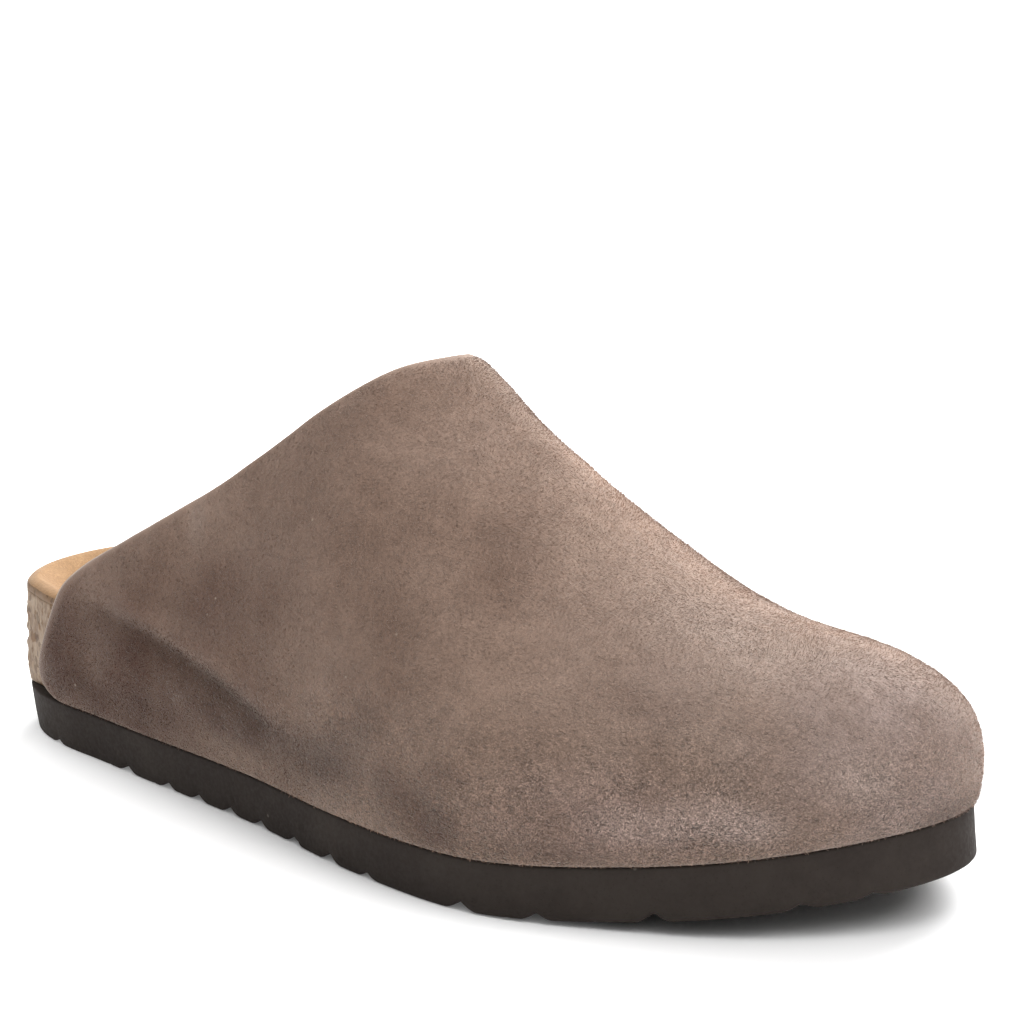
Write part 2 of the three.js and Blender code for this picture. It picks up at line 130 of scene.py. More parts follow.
BED = dict(
    at=[0.00, 0.12, 0.22, 0.30, 0.38, 0.46, 0.54, 0.62, 0.70, 0.79, 0.87, 1.00],
    outer_rim=[1.000, 0.995, 0.966, 0.838, 0.632, 0.436, 0.319, 0.211, 0.083, 0, 0, 0],
    inner_rim=[1.000, 0.995, 0.985, 0.946, 0.838, 0.672, 0.446, 0.240, 0.083, 0, 0, 0],
    floor=[0.63, 0.58, 0.59, 0.63, 0.68, 0.69, 0.66, 0.63, 0.66, 0.82, 0.69, 0.72],
    arch=[0, 0, 0.2, 0.6, 1.0, 0.9, 0.4, 0.1, 0, 0, 0, 0])
BOWL = dict(
    at=[0.00, 0.10, 0.24, 0.42, 0.68, 1.00],
    rise=[1.00, 0.80, 0.42, 0.14, 0.02, 0.00])
FLARE = dict(
    at=[0.00, 0.25, 0.60, 0.85, 1.00],
    out=[-1.00, -0.80, -0.45, 0.25, 0.75])
NOTCHES = dict(
    at=[0.100, 0.215, 0.278, 0.323, 0.369, 0.414, 0.465,
        0.518, 0.568, 0.675, 0.741, 0.828, 0.925, 0.965],
    depth=[0.60, 0.88, 0.84, 0.80, 0.84, 0.88, 0.92,
           1.00, 0.64, 0.92, 0.72, 0.96, 0.60, 0.44],
    reach=[0.76, 1.00, 0.90, 0.90, 0.90, 0.90, 0.95,
           1.00, 0.80, 1.05, 0.86, 0.82, 0.72, 0.52])

# The crease where the footbed's rim presses through: its height, and its depth on the outer and
# on the inner side
CREASE = dict(
    at=[40, 58, 68, 87, 104, 116, 125, 137, 152, 172, 190],
    height=[44.5, 45.0, 43.8, 40.0, 36.2, 33.0, 30.9, 28.9, 28.6, 28.0, 27.0],
    depth=[0.2, 1.2, 1.8, 2.1, 2.1, 1.6, 0.9, 0.6, 0.45, 0.4, 0.0],
    inner=[0.0, 0.25, 0.45, 0.6, 0.6, 0.5, 0.4, 0.3, 0.2, 0.1, 0.0])

# Dents and swells of the leather: side, place along and up, reach both ways, turn and depth
DENTS = [
    (OUTER, 120.0, 26.0, 9.0, 4.0, -28, 0.55),
    (OUTER, 131.0, 27.5, 8.0, 3.5, -20, 0.50),
    (OUTER, 176.0, 25.0, 4.5, 10.0, 25, 0.75),
    (OUTER, 187.0, 33.0, 9.0, 7.0, 0, -0.55),
    (OUTER, 165.0, 33.0, 9.0, 6.0, 0, -0.35),
    (OUTER, 214.0, 27.0, 16.0, 5.0, 6, 0.25),
    (OUTER, 92.0, 27.0, 14.0, 4.0, -8, -0.45),
    (OUTER, 60.0, 30.0, 9.0, 9.0, 0, -0.35),
    (OUTER, 74.0, 62.0, 16.0, 6.0, 38, -0.30),
    (OUTER, 118.0, 78.0, 22.0, 9.0, 30, 0.35),
    (OUTER, 150.0, 66.0, 20.0, 10.0, -35, 0.35),
    (OUTER, 178.0, 58.0, 18.0, 8.0, -32, -0.30),
    (INNER, 104.0, 42.0, 20.0, 5.0, -14, 0.50),
    (INNER, 132.0, 33.0, 16.0, 4.0, -18, 0.45),
    (INNER, 182.0, 27.0, 5.0, 10.0, -15, 0.60),
    (INNER, 196.0, 36.0, 10.0, 8.0, 0, -0.40),
    (INNER, 84.0, 60.0, 18.0, 7.0, 30, -0.30),
    (INNER, 150.0, 60.0, 20.0, 10.0, -30, 0.35),
]


# Small tools
def smooth(table, column, at):
    """A smooth curve through a column of a table."""
    xs = np.asarray(table["at"], float)
    ys = np.asarray(table[column], float)
    slopes = np.empty_like(ys)
    slopes[0] = (ys[1] - ys[0]) / (xs[1] - xs[0])
    slopes[-1] = (ys[-1] - ys[-2]) / (xs[-1] - xs[-2])
    slopes[1:-1] = (ys[2:] - ys[:-2]) / (xs[2:] - xs[:-2])
    place = np.clip(np.asarray(at, float), xs[0], xs[-1])
    low = np.clip(np.searchsorted(xs, place, side="right") - 1, 0, len(xs) - 2)
    span = xs[low + 1] - xs[low]
    t = (place - xs[low]) / span
    return ((1 + 2 * t) * (1 - t) ** 2 * ys[low] + t * (1 - t) ** 2 * span * slopes[low]
            + t * t * (3 - 2 * t) * ys[low + 1] + t * t * (t - 1) * span * slopes[low + 1])


def ease(low, high, value):
    """0 below low, 1 above high and a soft rise between them."""
    share = np.clip((np.asarray(value, float) - low) / (high - low), 0, 1)
    return share * share * (3 - 2 * share)


def blend(a, b, share):
    return a + (b - a) * share


def hill(value, middle, reach):
    return np.exp(-((value - middle) / reach) ** 2)


# The shoe's own form: outline, sole and upper
def end_narrowing(x):
    heel = np.clip((HEEL_END - x) / HEEL_END, 0, 1)
    toe = np.clip((x - (SHOE_LENGTH - TOE_END)) / TOE_END, 0, 1)
    return ((1 - heel ** HEEL_POWER) ** (1 / HEEL_POWER)
            * (1 - toe ** TOE_POWER) ** (1 / TOE_POWER))


def outline_y(along, side):
    half = smooth(PLAN, "half", along) * end_narrowing(along * SHOE_LENGTH)
    return BALL_WIDTH * (smooth(PLAN, "centre", along) + side * half)


def outline_normal(along, side):
    low = np.clip(along - 1e-4, 0, 1)
    high = np.clip(along + 1e-4, 0, 1)
    dx = (high - low) * SHOE_LENGTH
    dy = outline_y(high, side) - outline_y(low, side)
    size = np.hypot(dx, dy) + 1e-12
    nx = np.where(along <= 0, -1.0, np.where(along >= 1, 1.0, -dy * side / size))
    ny = np.where((along <= 0) | (along >= 1), 0.0, dx * side / size)
    return nx, ny


def outline_point(along, side, out, z):
    nx, ny = outline_normal(along, side)
    x = along * SHOE_LENGTH + nx * out
    y = outline_y(along, side) + ny * out
    return np.stack(np.broadcast_arrays(x, y, z), -1)


def spring_at(along):
    return TOE_SPRING * np.clip((along - SPRING_FROM) / (1 - SPRING_FROM), 0, None) ** 2


def ground_at(along):
    lift = np.clip((HEEL_BEVEL_TO - along) / HEEL_BEVEL_TO, 0, None) ** 2
    return spring_at(along) + HEEL_BEVEL * lift


def sole_top_at(along):
    return spring_at(along) + SOLE_THICKNESS


def swell_at(along):
    return blend(SIDE_SWELL, TOE_SWELL, ease(0.72, 1, along))


def ridge_point(along):
    tip = SHOE_LENGTH + swell_at(along)
    x = along * tip
    base = sole_top_at(along) + SWELL_HEIGHT
    dome = np.clip((x - (tip - TOE_DOME)) / TOE_DOME, 0, 1)
    rise = INSTEP_RISE * smooth(RIDGE, "height", along) - SWELL_HEIGHT
    z = base + rise * (1 - dome ** DOME_POWER) ** (1 / DOME_POWER)
    low = outline_point(along, OUTER, swell_at(along), 0.0)[..., 1]
    high = outline_point(along, INNER, swell_at(along), 0.0)[..., 1]
    room = np.maximum(0.3 * (high - low), 1e-6)
    middle = (low + high) / 2
    lean = np.tanh((smooth(RIDGE, "aside", along) * BALL_WIDTH - middle) / room)
    return x, middle + room * lean, z


def dome_point(along, angle):
    outer = angle <= 90
    square = np.where(outer, smooth(RIDGE, "outer", along), smooth(RIDGE, "inner", along))
    z = sole_top_at(along) + SWELL_HEIGHT
    edge = np.where(outer[..., None],
                    outline_point(along, OUTER, swell_at(along), z),
                    outline_point(along, INNER, swell_at(along), z))
    xr, yr, zr = ridge_point(along)
    level = np.abs(np.cos(np.radians(angle)))
    sideways = np.where(level < 1e-9, 0, level) ** (2 / square)
    upwards = np.abs(np.sin(np.radians(angle))) ** (2 / square)
    return np.stack([blend(xr, edge[..., 0], sideways),
                     blend(yr, edge[..., 1], sideways),
                     blend(z, zr, upwards)], -1)


def skirt_point(along, side, down):
    out = swell_at(along) * np.sqrt(np.clip(1 - down * down, 0, 1))
    z = sole_top_at(along) + CLEARANCE + (SWELL_HEIGHT - CLEARANCE) * (1 - down)
    return outline_point(along, side, out, z)


# Meshes from sheets of points
def grid_faces(rows, columns, looped=False, start=0):
    r, c = np.meshgrid(np.arange(rows - 1), np.arange(columns if looped else columns - 1),
                       indexing="ij")
    a = start + r * columns + c
    b = start + r * columns + (c + 1) % columns
    return np.stack([a, b, b + columns, a + columns], -1).reshape(-1, 4)


def grid_normals(points, looped=False):
    if looped:
        wide = np.concatenate([points[:, -1:], points, points[:, :1]], 1)
        across = wide[:, 2:] - wide[:, :-2]
    else:
        across = np.gradient(points, axis=1)
    up = np.gradient(points, axis=0)
    normal = np.cross(across, up)
    size = np.linalg.norm(normal, axis=-1, keepdims=True)
    return normal / np.maximum(size, 1e-12)


def make_mesh(name, points, faces, kinds, materials, flip=False, layers=None):
    """A closed mesh in the frame of the solids, in metres, with its doubles welded."""
    points = (np.asarray(points).reshape(-1, 3) - np.array(CENTRE)) / 1000
    keys, first, index = np.unique(np.round(points * 1e6).astype(np.int64), axis=0,
                                   return_index=True, return_inverse=True)
    index = index.reshape(-1)
    clean, marks = [], []
    for face, kind in zip(faces, kinds):
        corners = []
        for corner in index[np.asarray(face)]:
            if corner not in corners:
                corners.append(int(corner))
        if len(corners) > 2:
            clean.append(corners[::-1] if flip else corners)
            marks.append(kind)
    mesh = bpy.data.meshes.new(name)
    mesh.from_pydata(points[first].tolist(), [], clean)
    for material in materials:
        mesh.materials.append(material)
    mesh.polygons.foreach_set("material_index", np.array(marks, np.int32))
    mesh.polygons.foreach_set("use_smooth", np.ones(len(clean), bool))
    for label, values in (layers or {}).items():
        layer = mesh.attributes.new(label, "FLOAT", "POINT")
        layer.data.foreach_set("value", values[first].astype(np.float32))
    mesh.validate()
    mesh.update()
    thing = bpy.data.objects.new(name, mesh)
    bpy.context.scene.collection.objects.link(thing)
    return thing


def dress(thing, node):
    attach(thing, "root")
    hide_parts(node)


# Upper
def upper_sheet(rings, domes, skirts):
    """The plain outer face, from the toe's tip back to the opening, skirt to skirt."""
    step = np.linspace(0, 1, rings + 1)
    # the rings stand closer at the toe's tip
    back = 1.3 * step * step / (step + 0.3)
    angle = np.linspace(0, 180, domes + 1)
    cut = smooth(TOPLINE, "along", np.minimum(angle, 180 - angle))
    along = 1 - (1 - cut[None, :]) * back[:, None]
    dome = dome_point(along, np.broadcast_to(angle, along.shape))
    down = np.linspace(0, 1, skirts + 1)[1:]
    tail = TOPLINE["along"][0] + TAIL_CORNER * down ** 3
    low = 1 - (1 - tail[None, :]) * back[:, None]
    downs = np.broadcast_to(down, low.shape)
    outer = skirt_point(low, OUTER, downs)[:, ::-1]
    inner = skirt_point(low, INNER, downs)
    return np.concatenate([outer, dome, inner], 1)


def leather_relief(points, angles):
    """How far the leather stands out of its plain form, and the painted shade and highlight of its
    creases and ridge.
    """
    x, y, z = points[..., 0], points[..., 1], points[..., 2]
    along = np.clip(x / SHOE_LENGTH, 0, 1)
    middle = (outline_y(along, OUTER) + outline_y(along, INNER)) / 2
    outer = y < middle
    strength = np.where(outer, smooth(CREASE, "depth", x), smooth(CREASE, "inner", x))
    slope = (smooth(CREASE, "height", x + 2) - smooth(CREASE, "height", x - 2)) / 4
    above = (z - smooth(CREASE, "height", x)) / np.hypot(1, slope)
    above = np.where(outer, above, above - 3)
    relief = strength * (0.7 * hill(above, 3.2, 4.6) - 0.8 * hill(above, -2.8, 2.8)
                         - 0.2 * hill(above, -7, 5.0))
    shade = strength / 2 * (0.55 * hill(above, 3.4, 3.6) - hill(above, -2.2, 3.4)
                            - 0.3 * hill(above, -8, 4.0))
    # a painted highlight along the ridge
    shade = shade + (RIDGE_PAINTED_HIGHLIGHT * hill(angles, 106, 14)
                     * ease(144, 172, x) * (1 - ease(250, 270, x)))
    for side, px, pz, reach_x, reach_z, turn, depth in DENTS:
        cos, sin = math.cos(math.radians(turn)), math.sin(math.radians(turn))
        u = ((x - px) * cos + (z - pz) * sin) / reach_x
        w = (-(x - px) * sin + (z - pz) * cos) / reach_z
        here = outer if side == OUTER else ~outer
        relief = relief - np.where(here, depth * np.exp(-u * u - w * w), 0)
    # the ridge is drawn tight, the sides are a little wavy
    relief = relief - RIDGE_DRAWN_IN * hill(x, 196, 26) * hill(angles, 103, 22)
    relief = relief + INSTEP_SWELL * hill(x, 128, 26) * hill(angles, 62, 26)
    slack = 1 - 0.85 * hill(angles, 100, 45)
    for count, (size, height) in enumerate(SLACK_WAVES):
        phase = 1.7 * count
        relief = relief + slack * height * (np.sin(2 * np.pi * (x + 0.6 * z) / size + phase)
                                            * np.sin(2 * np.pi * (z - 0.5 * y) / (0.8 * size)
                                                     + 2 * phase))
    return relief, shade


def stitch_strip(fine, coarse, ratio, flip):
    """Faces between a fine border and a coarser one, given as lists of point numbers."""
    faces = []
    for j in range(len(coarse) - 1):
        for k in range(ratio):
            a, b = fine[j * ratio + k], fine[j * ratio + k + 1]
            c = coarse[j] if k < ratio / 2 else coarse[j + 1]
            faces.append((a, b, c))
            if k == (ratio - 1) // 2:
                faces.append((b if c == coarse[j] else a, coarse[j + 1], coarse[j]))
    return [face[::-1] for face in faces] if flip else faces


def make_upper(materials):
    """One closed wall: outer face, cut edge, inner face and the bottom edges."""
    rings, domes, skirts = UPPER_RINGS, UPPER_COLUMNS, SKIRT_COLUMNS
    sheet = upper_sheet(rings, domes, skirts)
    normals = grid_normals(sheet)
    # at the toe's tip all columns meet, so its two sides share their normals
    mirrored = normals[1] + normals[1, ::-1]
    mirrored[skirts:-skirts] = mirrored[skirts:-skirts].sum(0)
    normals[0] = mirrored / np.linalg.norm(mirrored, axis=-1, keepdims=True)
    outward = np.where(normals[rings // 2, domes // 2 + skirts, 2] < 0, -1, 1)
    normals = normals * outward
    edge = np.linspace(0, 1, rings + 1)[:, None]
    columns = np.linspace(0, 1, sheet.shape[1])[None, :]
    # the relief fades out at the toe's tip and along the bottom
    calm = ease(0, 0.04, edge) * ease(0, 0.03, columns) * ease(0, 0.03, 1 - columns)
    angles = np.linspace(-12, 192, sheet.shape[1])[None, :]
    relief, shade = leather_relief(sheet, angles)
    relief = relief * calm
    roll = OPENING_ROLL * ease(0.955, 1, edge) ** 2 * hill(angles, 100, 26)
    outer = sheet + normals * (relief - roll)[..., None]
    # the cut edge is a little rounded
    for row, depth in zip((-1, -2), EDGE_DRAWN_IN):
        outer[row] -= normals[row] * depth
    rows = [outer]
    inner_edge = sheet[-1] - normals[-1] * (UPPER_WALL + 0.8 * roll[-1])[:, None]
    away = sheet[-1] - sheet[-2]
    away /= np.linalg.norm(away, axis=-1, keepdims=True)
    for share in (0.3, 0.6, 0.85):
        bulge = EDGE_BULGE * math.sin(math.pi * share)
        rows.append((blend(outer[-1], inner_edge, share) + away * bulge)[None])
    rows.append(inner_edge[None])
    inner = sheet - normals * (UPPER_WALL - np.minimum(relief, 0) * 0.8 + 0.8 * roll)[..., None]
    # the inner face ends level with the outer one, on the sole
    inner[:, [0, -1], 2] = sheet[:, [0, -1], 2]
    rows[-1][0, 0], rows[-1][0, -1] = inner[-1, 0], inner[-1, -1]
    inner = inner[::INSIDE_SKIP, ::INSIDE_SKIP]
    fine_rows = np.concatenate(rows, 0)
    fine_count = fine_rows.shape[1]
    inner_rows, inner_count = inner.shape[:2]
    edge_rows = len(fine_rows) - rings
    # faces are of kind 0 on the suede, 1 on the raw edge and 2 on the lining
    points = np.concatenate([fine_rows.reshape(-1, 3), inner.reshape(-1, 3)])
    start = fine_rows.shape[0] * fine_count
    faces = grid_faces(fine_rows.shape[0], fine_count).tolist()
    kinds = [0] * ((rings - 1) * (fine_count - 1)) + [1] * (edge_rows * (fine_count - 1))
    inside = grid_faces(inner_rows, inner_count, start=start)[:, ::-1].tolist()
    faces += inside
    kinds += [2] * len(inside)
    last = [start - fine_count + c for c in range(fine_count)]
    inner_last = [start + (inner_rows - 1) * inner_count + c for c in range(inner_count)]
    strip = stitch_strip(last, inner_last, INSIDE_SKIP, False)
    faces += strip
    kinds += [2] * len(strip)
    for column, flip in ((0, False), (fine_count - 1, True)):
        fine = [r * fine_count + column for r in range(rings + 1)]
        inner_column = 0 if column == 0 else inner_count - 1
        coarse = [start + r * inner_count + inner_column for r in range(inner_rows)]
        strip = stitch_strip(fine, coarse, INSIDE_SKIP, flip)
        cap = [(rings + k) * fine_count + column for k in range(edge_rows)]
        ends = [(*pair, coarse[-1]) for pair in zip(cap, cap[1:])]
        if flip:
            ends = [face[::-1] for face in ends]
        faces += strip + ends
        kinds += [1] * (len(strip) + len(ends))
    # the crease mark holds painted shade in the crease, and painted highlight above it and along
    # the ridge
    layers = {"crease": np.zeros(len(points)), "bare": np.zeros(len(points))}
    layers["crease"][:shade.size] = shade.ravel()
    # no fibres grow by the cut edge
    layers["bare"][(rings - 3) * fine_count:] = 1
    return make_mesh("upper_suede", points, faces, kinds, materials, flip=outward < 0,
                     layers=layers)


# Footbed and insole
def bed_side(along, side, z):
    """A point of the bed's side wall: under the upper's wall, and bare at the back of the heel."""
    up = np.clip((z - sole_top_at(along) - CLEARANCE) / (SWELL_HEIGHT - CLEARANCE), 0, 1)
    bare = 1 - ease(BARE_UNTIL, COVERED_FROM, along)
    covered = swell_at(along) * up * (2 - up) - UPPER_WALL - HIDDEN_CLEARANCE
    out = blend(covered, BARE_PROUD, bare)
    xr, yr, zr = ridge_point(along)
    base = sole_top_at(along) + SWELL_HEIGHT
    point = outline_point(along, side, out, z)
    high = (z > base) & (zr - base >= 1)
    square = np.where(side == OUTER, smooth(RIDGE, "outer", along), smooth(RIDGE, "inner", along))
    share = np.clip((z - base) / np.maximum(zr - base, 1e-6), 0, 1)
    lean = np.where(high, (1 - share ** square) ** (1 / square), 1)
    return np.stack([blend(xr, point[..., 0], lean), blend(yr, point[..., 1], lean),
                     np.broadcast_to(z, lean.shape)], -1)


def loop_places(steps):
    step = np.arange(2 * steps)
    return (1 - np.cos(np.pi * step / steps)) / 2, np.where(step <= steps, OUTER, INNER)


def by_side(side, outer, inner):
    return np.where(side == OUTER, outer, inner)


def rim_height(along, side):
    share = by_side(side, smooth(BED, "outer_rim", along), smooth(BED, "inner_rim", along))
    return sole_top_at(along) + blend(TOE_RIM, HEEL_RIM, share)


def rim_point(along, side, inset, drop):
    z = rim_height(along, side) - drop * LIP_DROP
    point = bed_side(along, side, z)
    nx, ny = outline_normal(along, side)
    point[..., 0] -= nx * inset * RIM_ROUND
    point[..., 1] -= ny * inset * RIM_ROUND
    return point


def bowl_point(along, side, share):
    rim = rim_point(along, side, 1, 0)
    spine_x = np.clip(along * SHOE_LENGTH, HEEL_SPINE, SHOE_LENGTH - TOE_SPINE)
    spine = spine_x / SHOE_LENGTH
    spine_y = (outline_y(spine, OUTER) + outline_y(spine, INNER)) / 2
    x = blend(rim[..., 0], spine_x, share)
    y = blend(rim[..., 1], spine_y, share)
    here = np.clip(x / SHOE_LENGTH, 0, 1)
    wall = rim_height(here, np.full_like(here, OUTER)) - sole_top_at(here)
    floor = sole_top_at(here) + smooth(BED, "floor", here) * wall
    arch = by_side(side, 0, ARCH_SWELL * smooth(BED, "arch", here)) * np.sin(np.pi * share) ** 2
    return np.stack([x, y, blend(floor, rim[..., 2], smooth(BOWL, "rise", share)) + arch], -1)


def bed_sheet(steps, lips, rounds, bowls):
    along, side = loop_places(steps)
    rows = []
    for drop in np.linspace(1, LIP_ROUND_SHARE, lips + 1):
        rows.append(rim_point(along, side, 0.0, drop))
    for turn in np.linspace(0, np.pi / 2, rounds + 1)[1:]:
        drop = LIP_ROUND_SHARE * (1 - math.sin(turn))
        rows.append(rim_point(along, side, 1 - math.cos(turn), drop))
    for share in np.linspace(0, 1, bowls + 1)[1:]:
        rows.append(bowl_point(along, side, share))
    return np.stack(rows)


def moved_in(sheet, normals, depth):
    """The sheet a wall's thickness further in, with its lip moved in level."""
    under = sheet - normals * depth
    level = normals[0].copy()
    level[:, 2] = 0
    level /= np.linalg.norm(level, axis=-1, keepdims=True)
    under[0] = sheet[0] - level * depth
    return under


def bed_normals(sheet):
    normals = grid_normals(sheet, looped=True)
    outward = np.where(normals[-3, 5, 2] < 0, -1, 1)
    normals = normals * outward
    normals[-1] = (0, 0, 1)
    return normals, outward


def make_insole(materials):
    """A closed layer of leather whose lip is rolled over the cork's rim."""
    sheet = bed_sheet(BED_STEPS, LIP_ROWS, ROUND_ROWS, INSOLE_ROWS)
    normals, outward = bed_normals(sheet)
    x, y = sheet[..., 0], sheet[..., 1]
    worn = hill(x, 38, 26) * hill(y, 2, 20) + hill(x, 190, 26) * hill(y, -4, 34)
    top = sheet.copy()
    top[..., 2] -= WORN_DEPTH * worn
    under = moved_in(sheet, normals, INSOLE_THICKNESS)
    rows, columns = sheet.shape[:2]
    points = np.concatenate([top.reshape(-1, 3), under.reshape(-1, 3)])
    count = rows * columns
    faces = grid_faces(rows, columns, looped=True).tolist()
    faces += (grid_faces(rows, columns, looped=True)[:, ::-1] + count).tolist()
    for c in range(columns):
        n = (c + 1) % columns
        faces.append((n, c, c + count, n + count))
    # the lower part of the lip shows the cork, and on it the cork's painted shadow under the crest
    cork_faces = CORK_LIP_ROWS * columns
    kinds = [1] * cork_faces + [0] * (len(faces) - cork_faces)
    return make_mesh("insole_leather", points, faces, kinds, materials, flip=outward < 0)


def grain(points, size, seed):
    """Plain noise of a given size, made of waves, so that it repeats run after run."""
    rng = np.random.default_rng(seed)
    total = np.zeros(points.shape[:-1])
    for _ in range(WAVES_IN_GRAIN):
        direction = rng.normal(size=3)
        direction /= np.linalg.norm(direction)
        turn = rng.uniform(0, 2 * np.pi)
        total += np.sin(2 * np.pi * (points @ direction) / (size * rng.uniform(0.7, 1.5)) + turn)
    return total / WAVES_IN_GRAIN ** 0.5


def make_footbed(material):
    """The closed cork body: side wall, ledge under the lip, and the bed under the insole."""
    sheet = bed_sheet(BED_STEPS, LIP_ROWS, ROUND_ROWS, FOOTBED_ROWS)
    normals, outward = bed_normals(sheet)
    under = moved_in(sheet, normals, INSOLE_THICKNESS + CLEARANCE)
    along, side = loop_places(BED_STEPS)
    low = sole_top_at(along) + CLEARANCE
    high = rim_height(along, side) - LIP_DROP - UNDER_LIP
    rows = []
    nx, ny = outline_normal(along, side)
    bare = 1 - ease(BARE_UNTIL, COVERED_FROM, along)
    for share in np.linspace(0, 1, CORK_ROWS + 1):
        row = bed_side(along, side, blend(low, high, share))
        lumps = np.maximum(grain(row, 5.0, 4), -0.5) * 0.36 + grain(row, 2.4, 5) * 0.15
        out = bare * ease(0, 0.06, share) * ease(0, 0.16, 1 - share) * lumps
        row[:, 0] += nx * out
        row[:, 1] += ny * out
        rows.append(row)
    ledge = under[0].copy()
    ledge[:, 2] -= UNDER_LIP
    rows.append(ledge)
    rows += list(under)
    points = np.stack(rows)
    count = points.shape[1]
    faces = grid_faces(points.shape[0], count, looped=True).tolist()
    # the underside, in strips from side to side
    for step in range(BED_STEPS):
        faces.append(((count - step) % count, count - step - 1, step + 1, step))
    return make_mesh("footbed_cork", points, faces, [0] * len(faces), [material],
                     flip=outward < 0)


# Outsole
def tread_at(x):
    """Height of the notches in the tread at a place along the sole."""
    height = np.zeros_like(x)
    for at, depth, reach in zip(NOTCHES["at"], NOTCHES["depth"], NOTCHES["reach"]):
        off = np.clip(np.abs(x - at * SHOE_LENGTH) / (reach * NOTCH_REACH), 0, 1)
        height = np.maximum(height, depth * NOTCH_DEPTH * (1 - off) ** 1.7)
    return height


def make_outsole(material):
    """The closed foam sole: side wall with its notches, flat top and wavy tread."""
    # the stations stand closer at both ends, where the outline turns
    ends = np.array([0, 0.0002, 0.0008, 0.0018, 0.0032, 0.005, 0.0075, 0.0105])
    main = np.linspace(0.014, 0.986, SOLE_STATIONS)
    stations = np.concatenate([ends, main, 1 - ends[::-1]]) * SHOE_LENGTH
    last = len(stations) - 1
    count = 2 * last
    step = np.arange(count)
    side = np.where(step <= last, OUTER, INNER)
    x = stations[np.where(step <= last, step, count - step)]
    along = x / SHOE_LENGTH
    flare = SIDE_FLARE * smooth(FLARE, "out", along)
    foot = ground_at(along) + tread_at(x)
    rows = []
    for turn in np.linspace(0, np.pi / 2, WALL_ROWS + 1):
        out = flare - 0.8 * TREAD_ROUND * (1 - math.sin(turn))
        rows.append(outline_point(along, side, out, foot + TREAD_ROUND * (1 - math.cos(turn))))
    middle = ground_at(along) + WALL_MIDDLE * SOLE_THICKNESS
    for share in np.linspace(0, 1, WALL_ROWS + 1)[1:]:
        z = blend(foot + TREAD_ROUND, middle, share)
        rows.append(outline_point(along, side, blend(flare, flare / 2, share), z))
    high = sole_top_at(along) - EDGE_ROUND
    for share in np.linspace(0, 1, WALL_ROWS + 1)[1:]:
        z = blend(middle, high, share)
        rows.append(outline_point(along, side, blend(flare / 2, 0, share), z))
    for turn in np.linspace(0, np.pi / 2, 4)[1:]:
        z = high + EDGE_ROUND * math.sin(turn)
        rows.append(outline_point(along, side, -EDGE_ROUND * (1 - math.cos(turn)), z))
    rows = np.stack(rows)
    nicks = np.clip(grain(rows[:NICKED_ROWS], 3.1, 11) - 1.15, 0, 1) * NICK_DEPTH
    nx, ny = outline_normal(along, side)
    rows[:NICKED_ROWS, :, 0] -= nx * nicks
    rows[:NICKED_ROWS, :, 1] -= ny * nicks
    points = [rows.reshape(-1, 3)]
    faces = grid_faces(len(rows), count, looped=True).tolist()
    top = (len(rows) - 1) * count
    for s in range(last):
        faces.append([top + s, top + s + 1, top + count - s - 1, top + (count - s) % count])
    columns = TREAD_COLUMNS
    low = rows[0, :last + 1]
    highs = rows[0, (count - np.arange(last + 1)) % count]
    share = np.linspace(0, 1, columns + 1)
    place = low[:, None] + (highs - low)[:, None] * share[None, :, None]
    width = (highs - low)[:, 1]
    room = np.minimum(1, width / (0.55 * BALL_WIDTH))
    ends_at = TREAD_END * SHOE_LENGTH
    fade = (ease(ends_at - 6, ends_at + 6, stations)
            * ease(ends_at - 6, ends_at + 6, SHOE_LENGTH - stations))
    wave = (WAVE_SWING * np.sin(np.pi * share)[None] * (room * fade)[:, None]
            * np.sin(2 * np.pi * place[..., 1] / WAVE_LENGTH))
    lift = (ground_at((stations[:, None] + wave) / SHOE_LENGTH)
            - ground_at(stations / SHOE_LENGTH)[:, None])
    tread = place + np.stack([wave, 0 * wave, lift], -1)
    start = len(rows) * count
    points.append(tread.reshape(-1, 3))
    faces += grid_faces(last + 1, columns + 1, start=start).tolist()
    points = np.concatenate(points)
    return make_mesh("outsole_foam", points, faces, [0] * len(faces), [material])


# Shader groups and materials
FLOAT, VECTOR, COLOR = "NodeSocketFloat", "NodeSocketVector", "NodeSocketColor"
GEOMETRY, MATERIAL, INTEGER = "NodeSocketGeometry", "NodeSocketMaterial", "NodeSocketInt"
NODE_STEP = 180
groups = {}


def rgb(r, g, b):
    """A colour as the eye reads it, 0 to 255, in the renderer's linear numbers."""
    shares = [value / 255 for value in (r, g, b)]
    return (*[share / 12.92 if share <= 0.04045 else ((share + 0.055) / 1.055) ** 2.4
              for share in shares], 1.0)


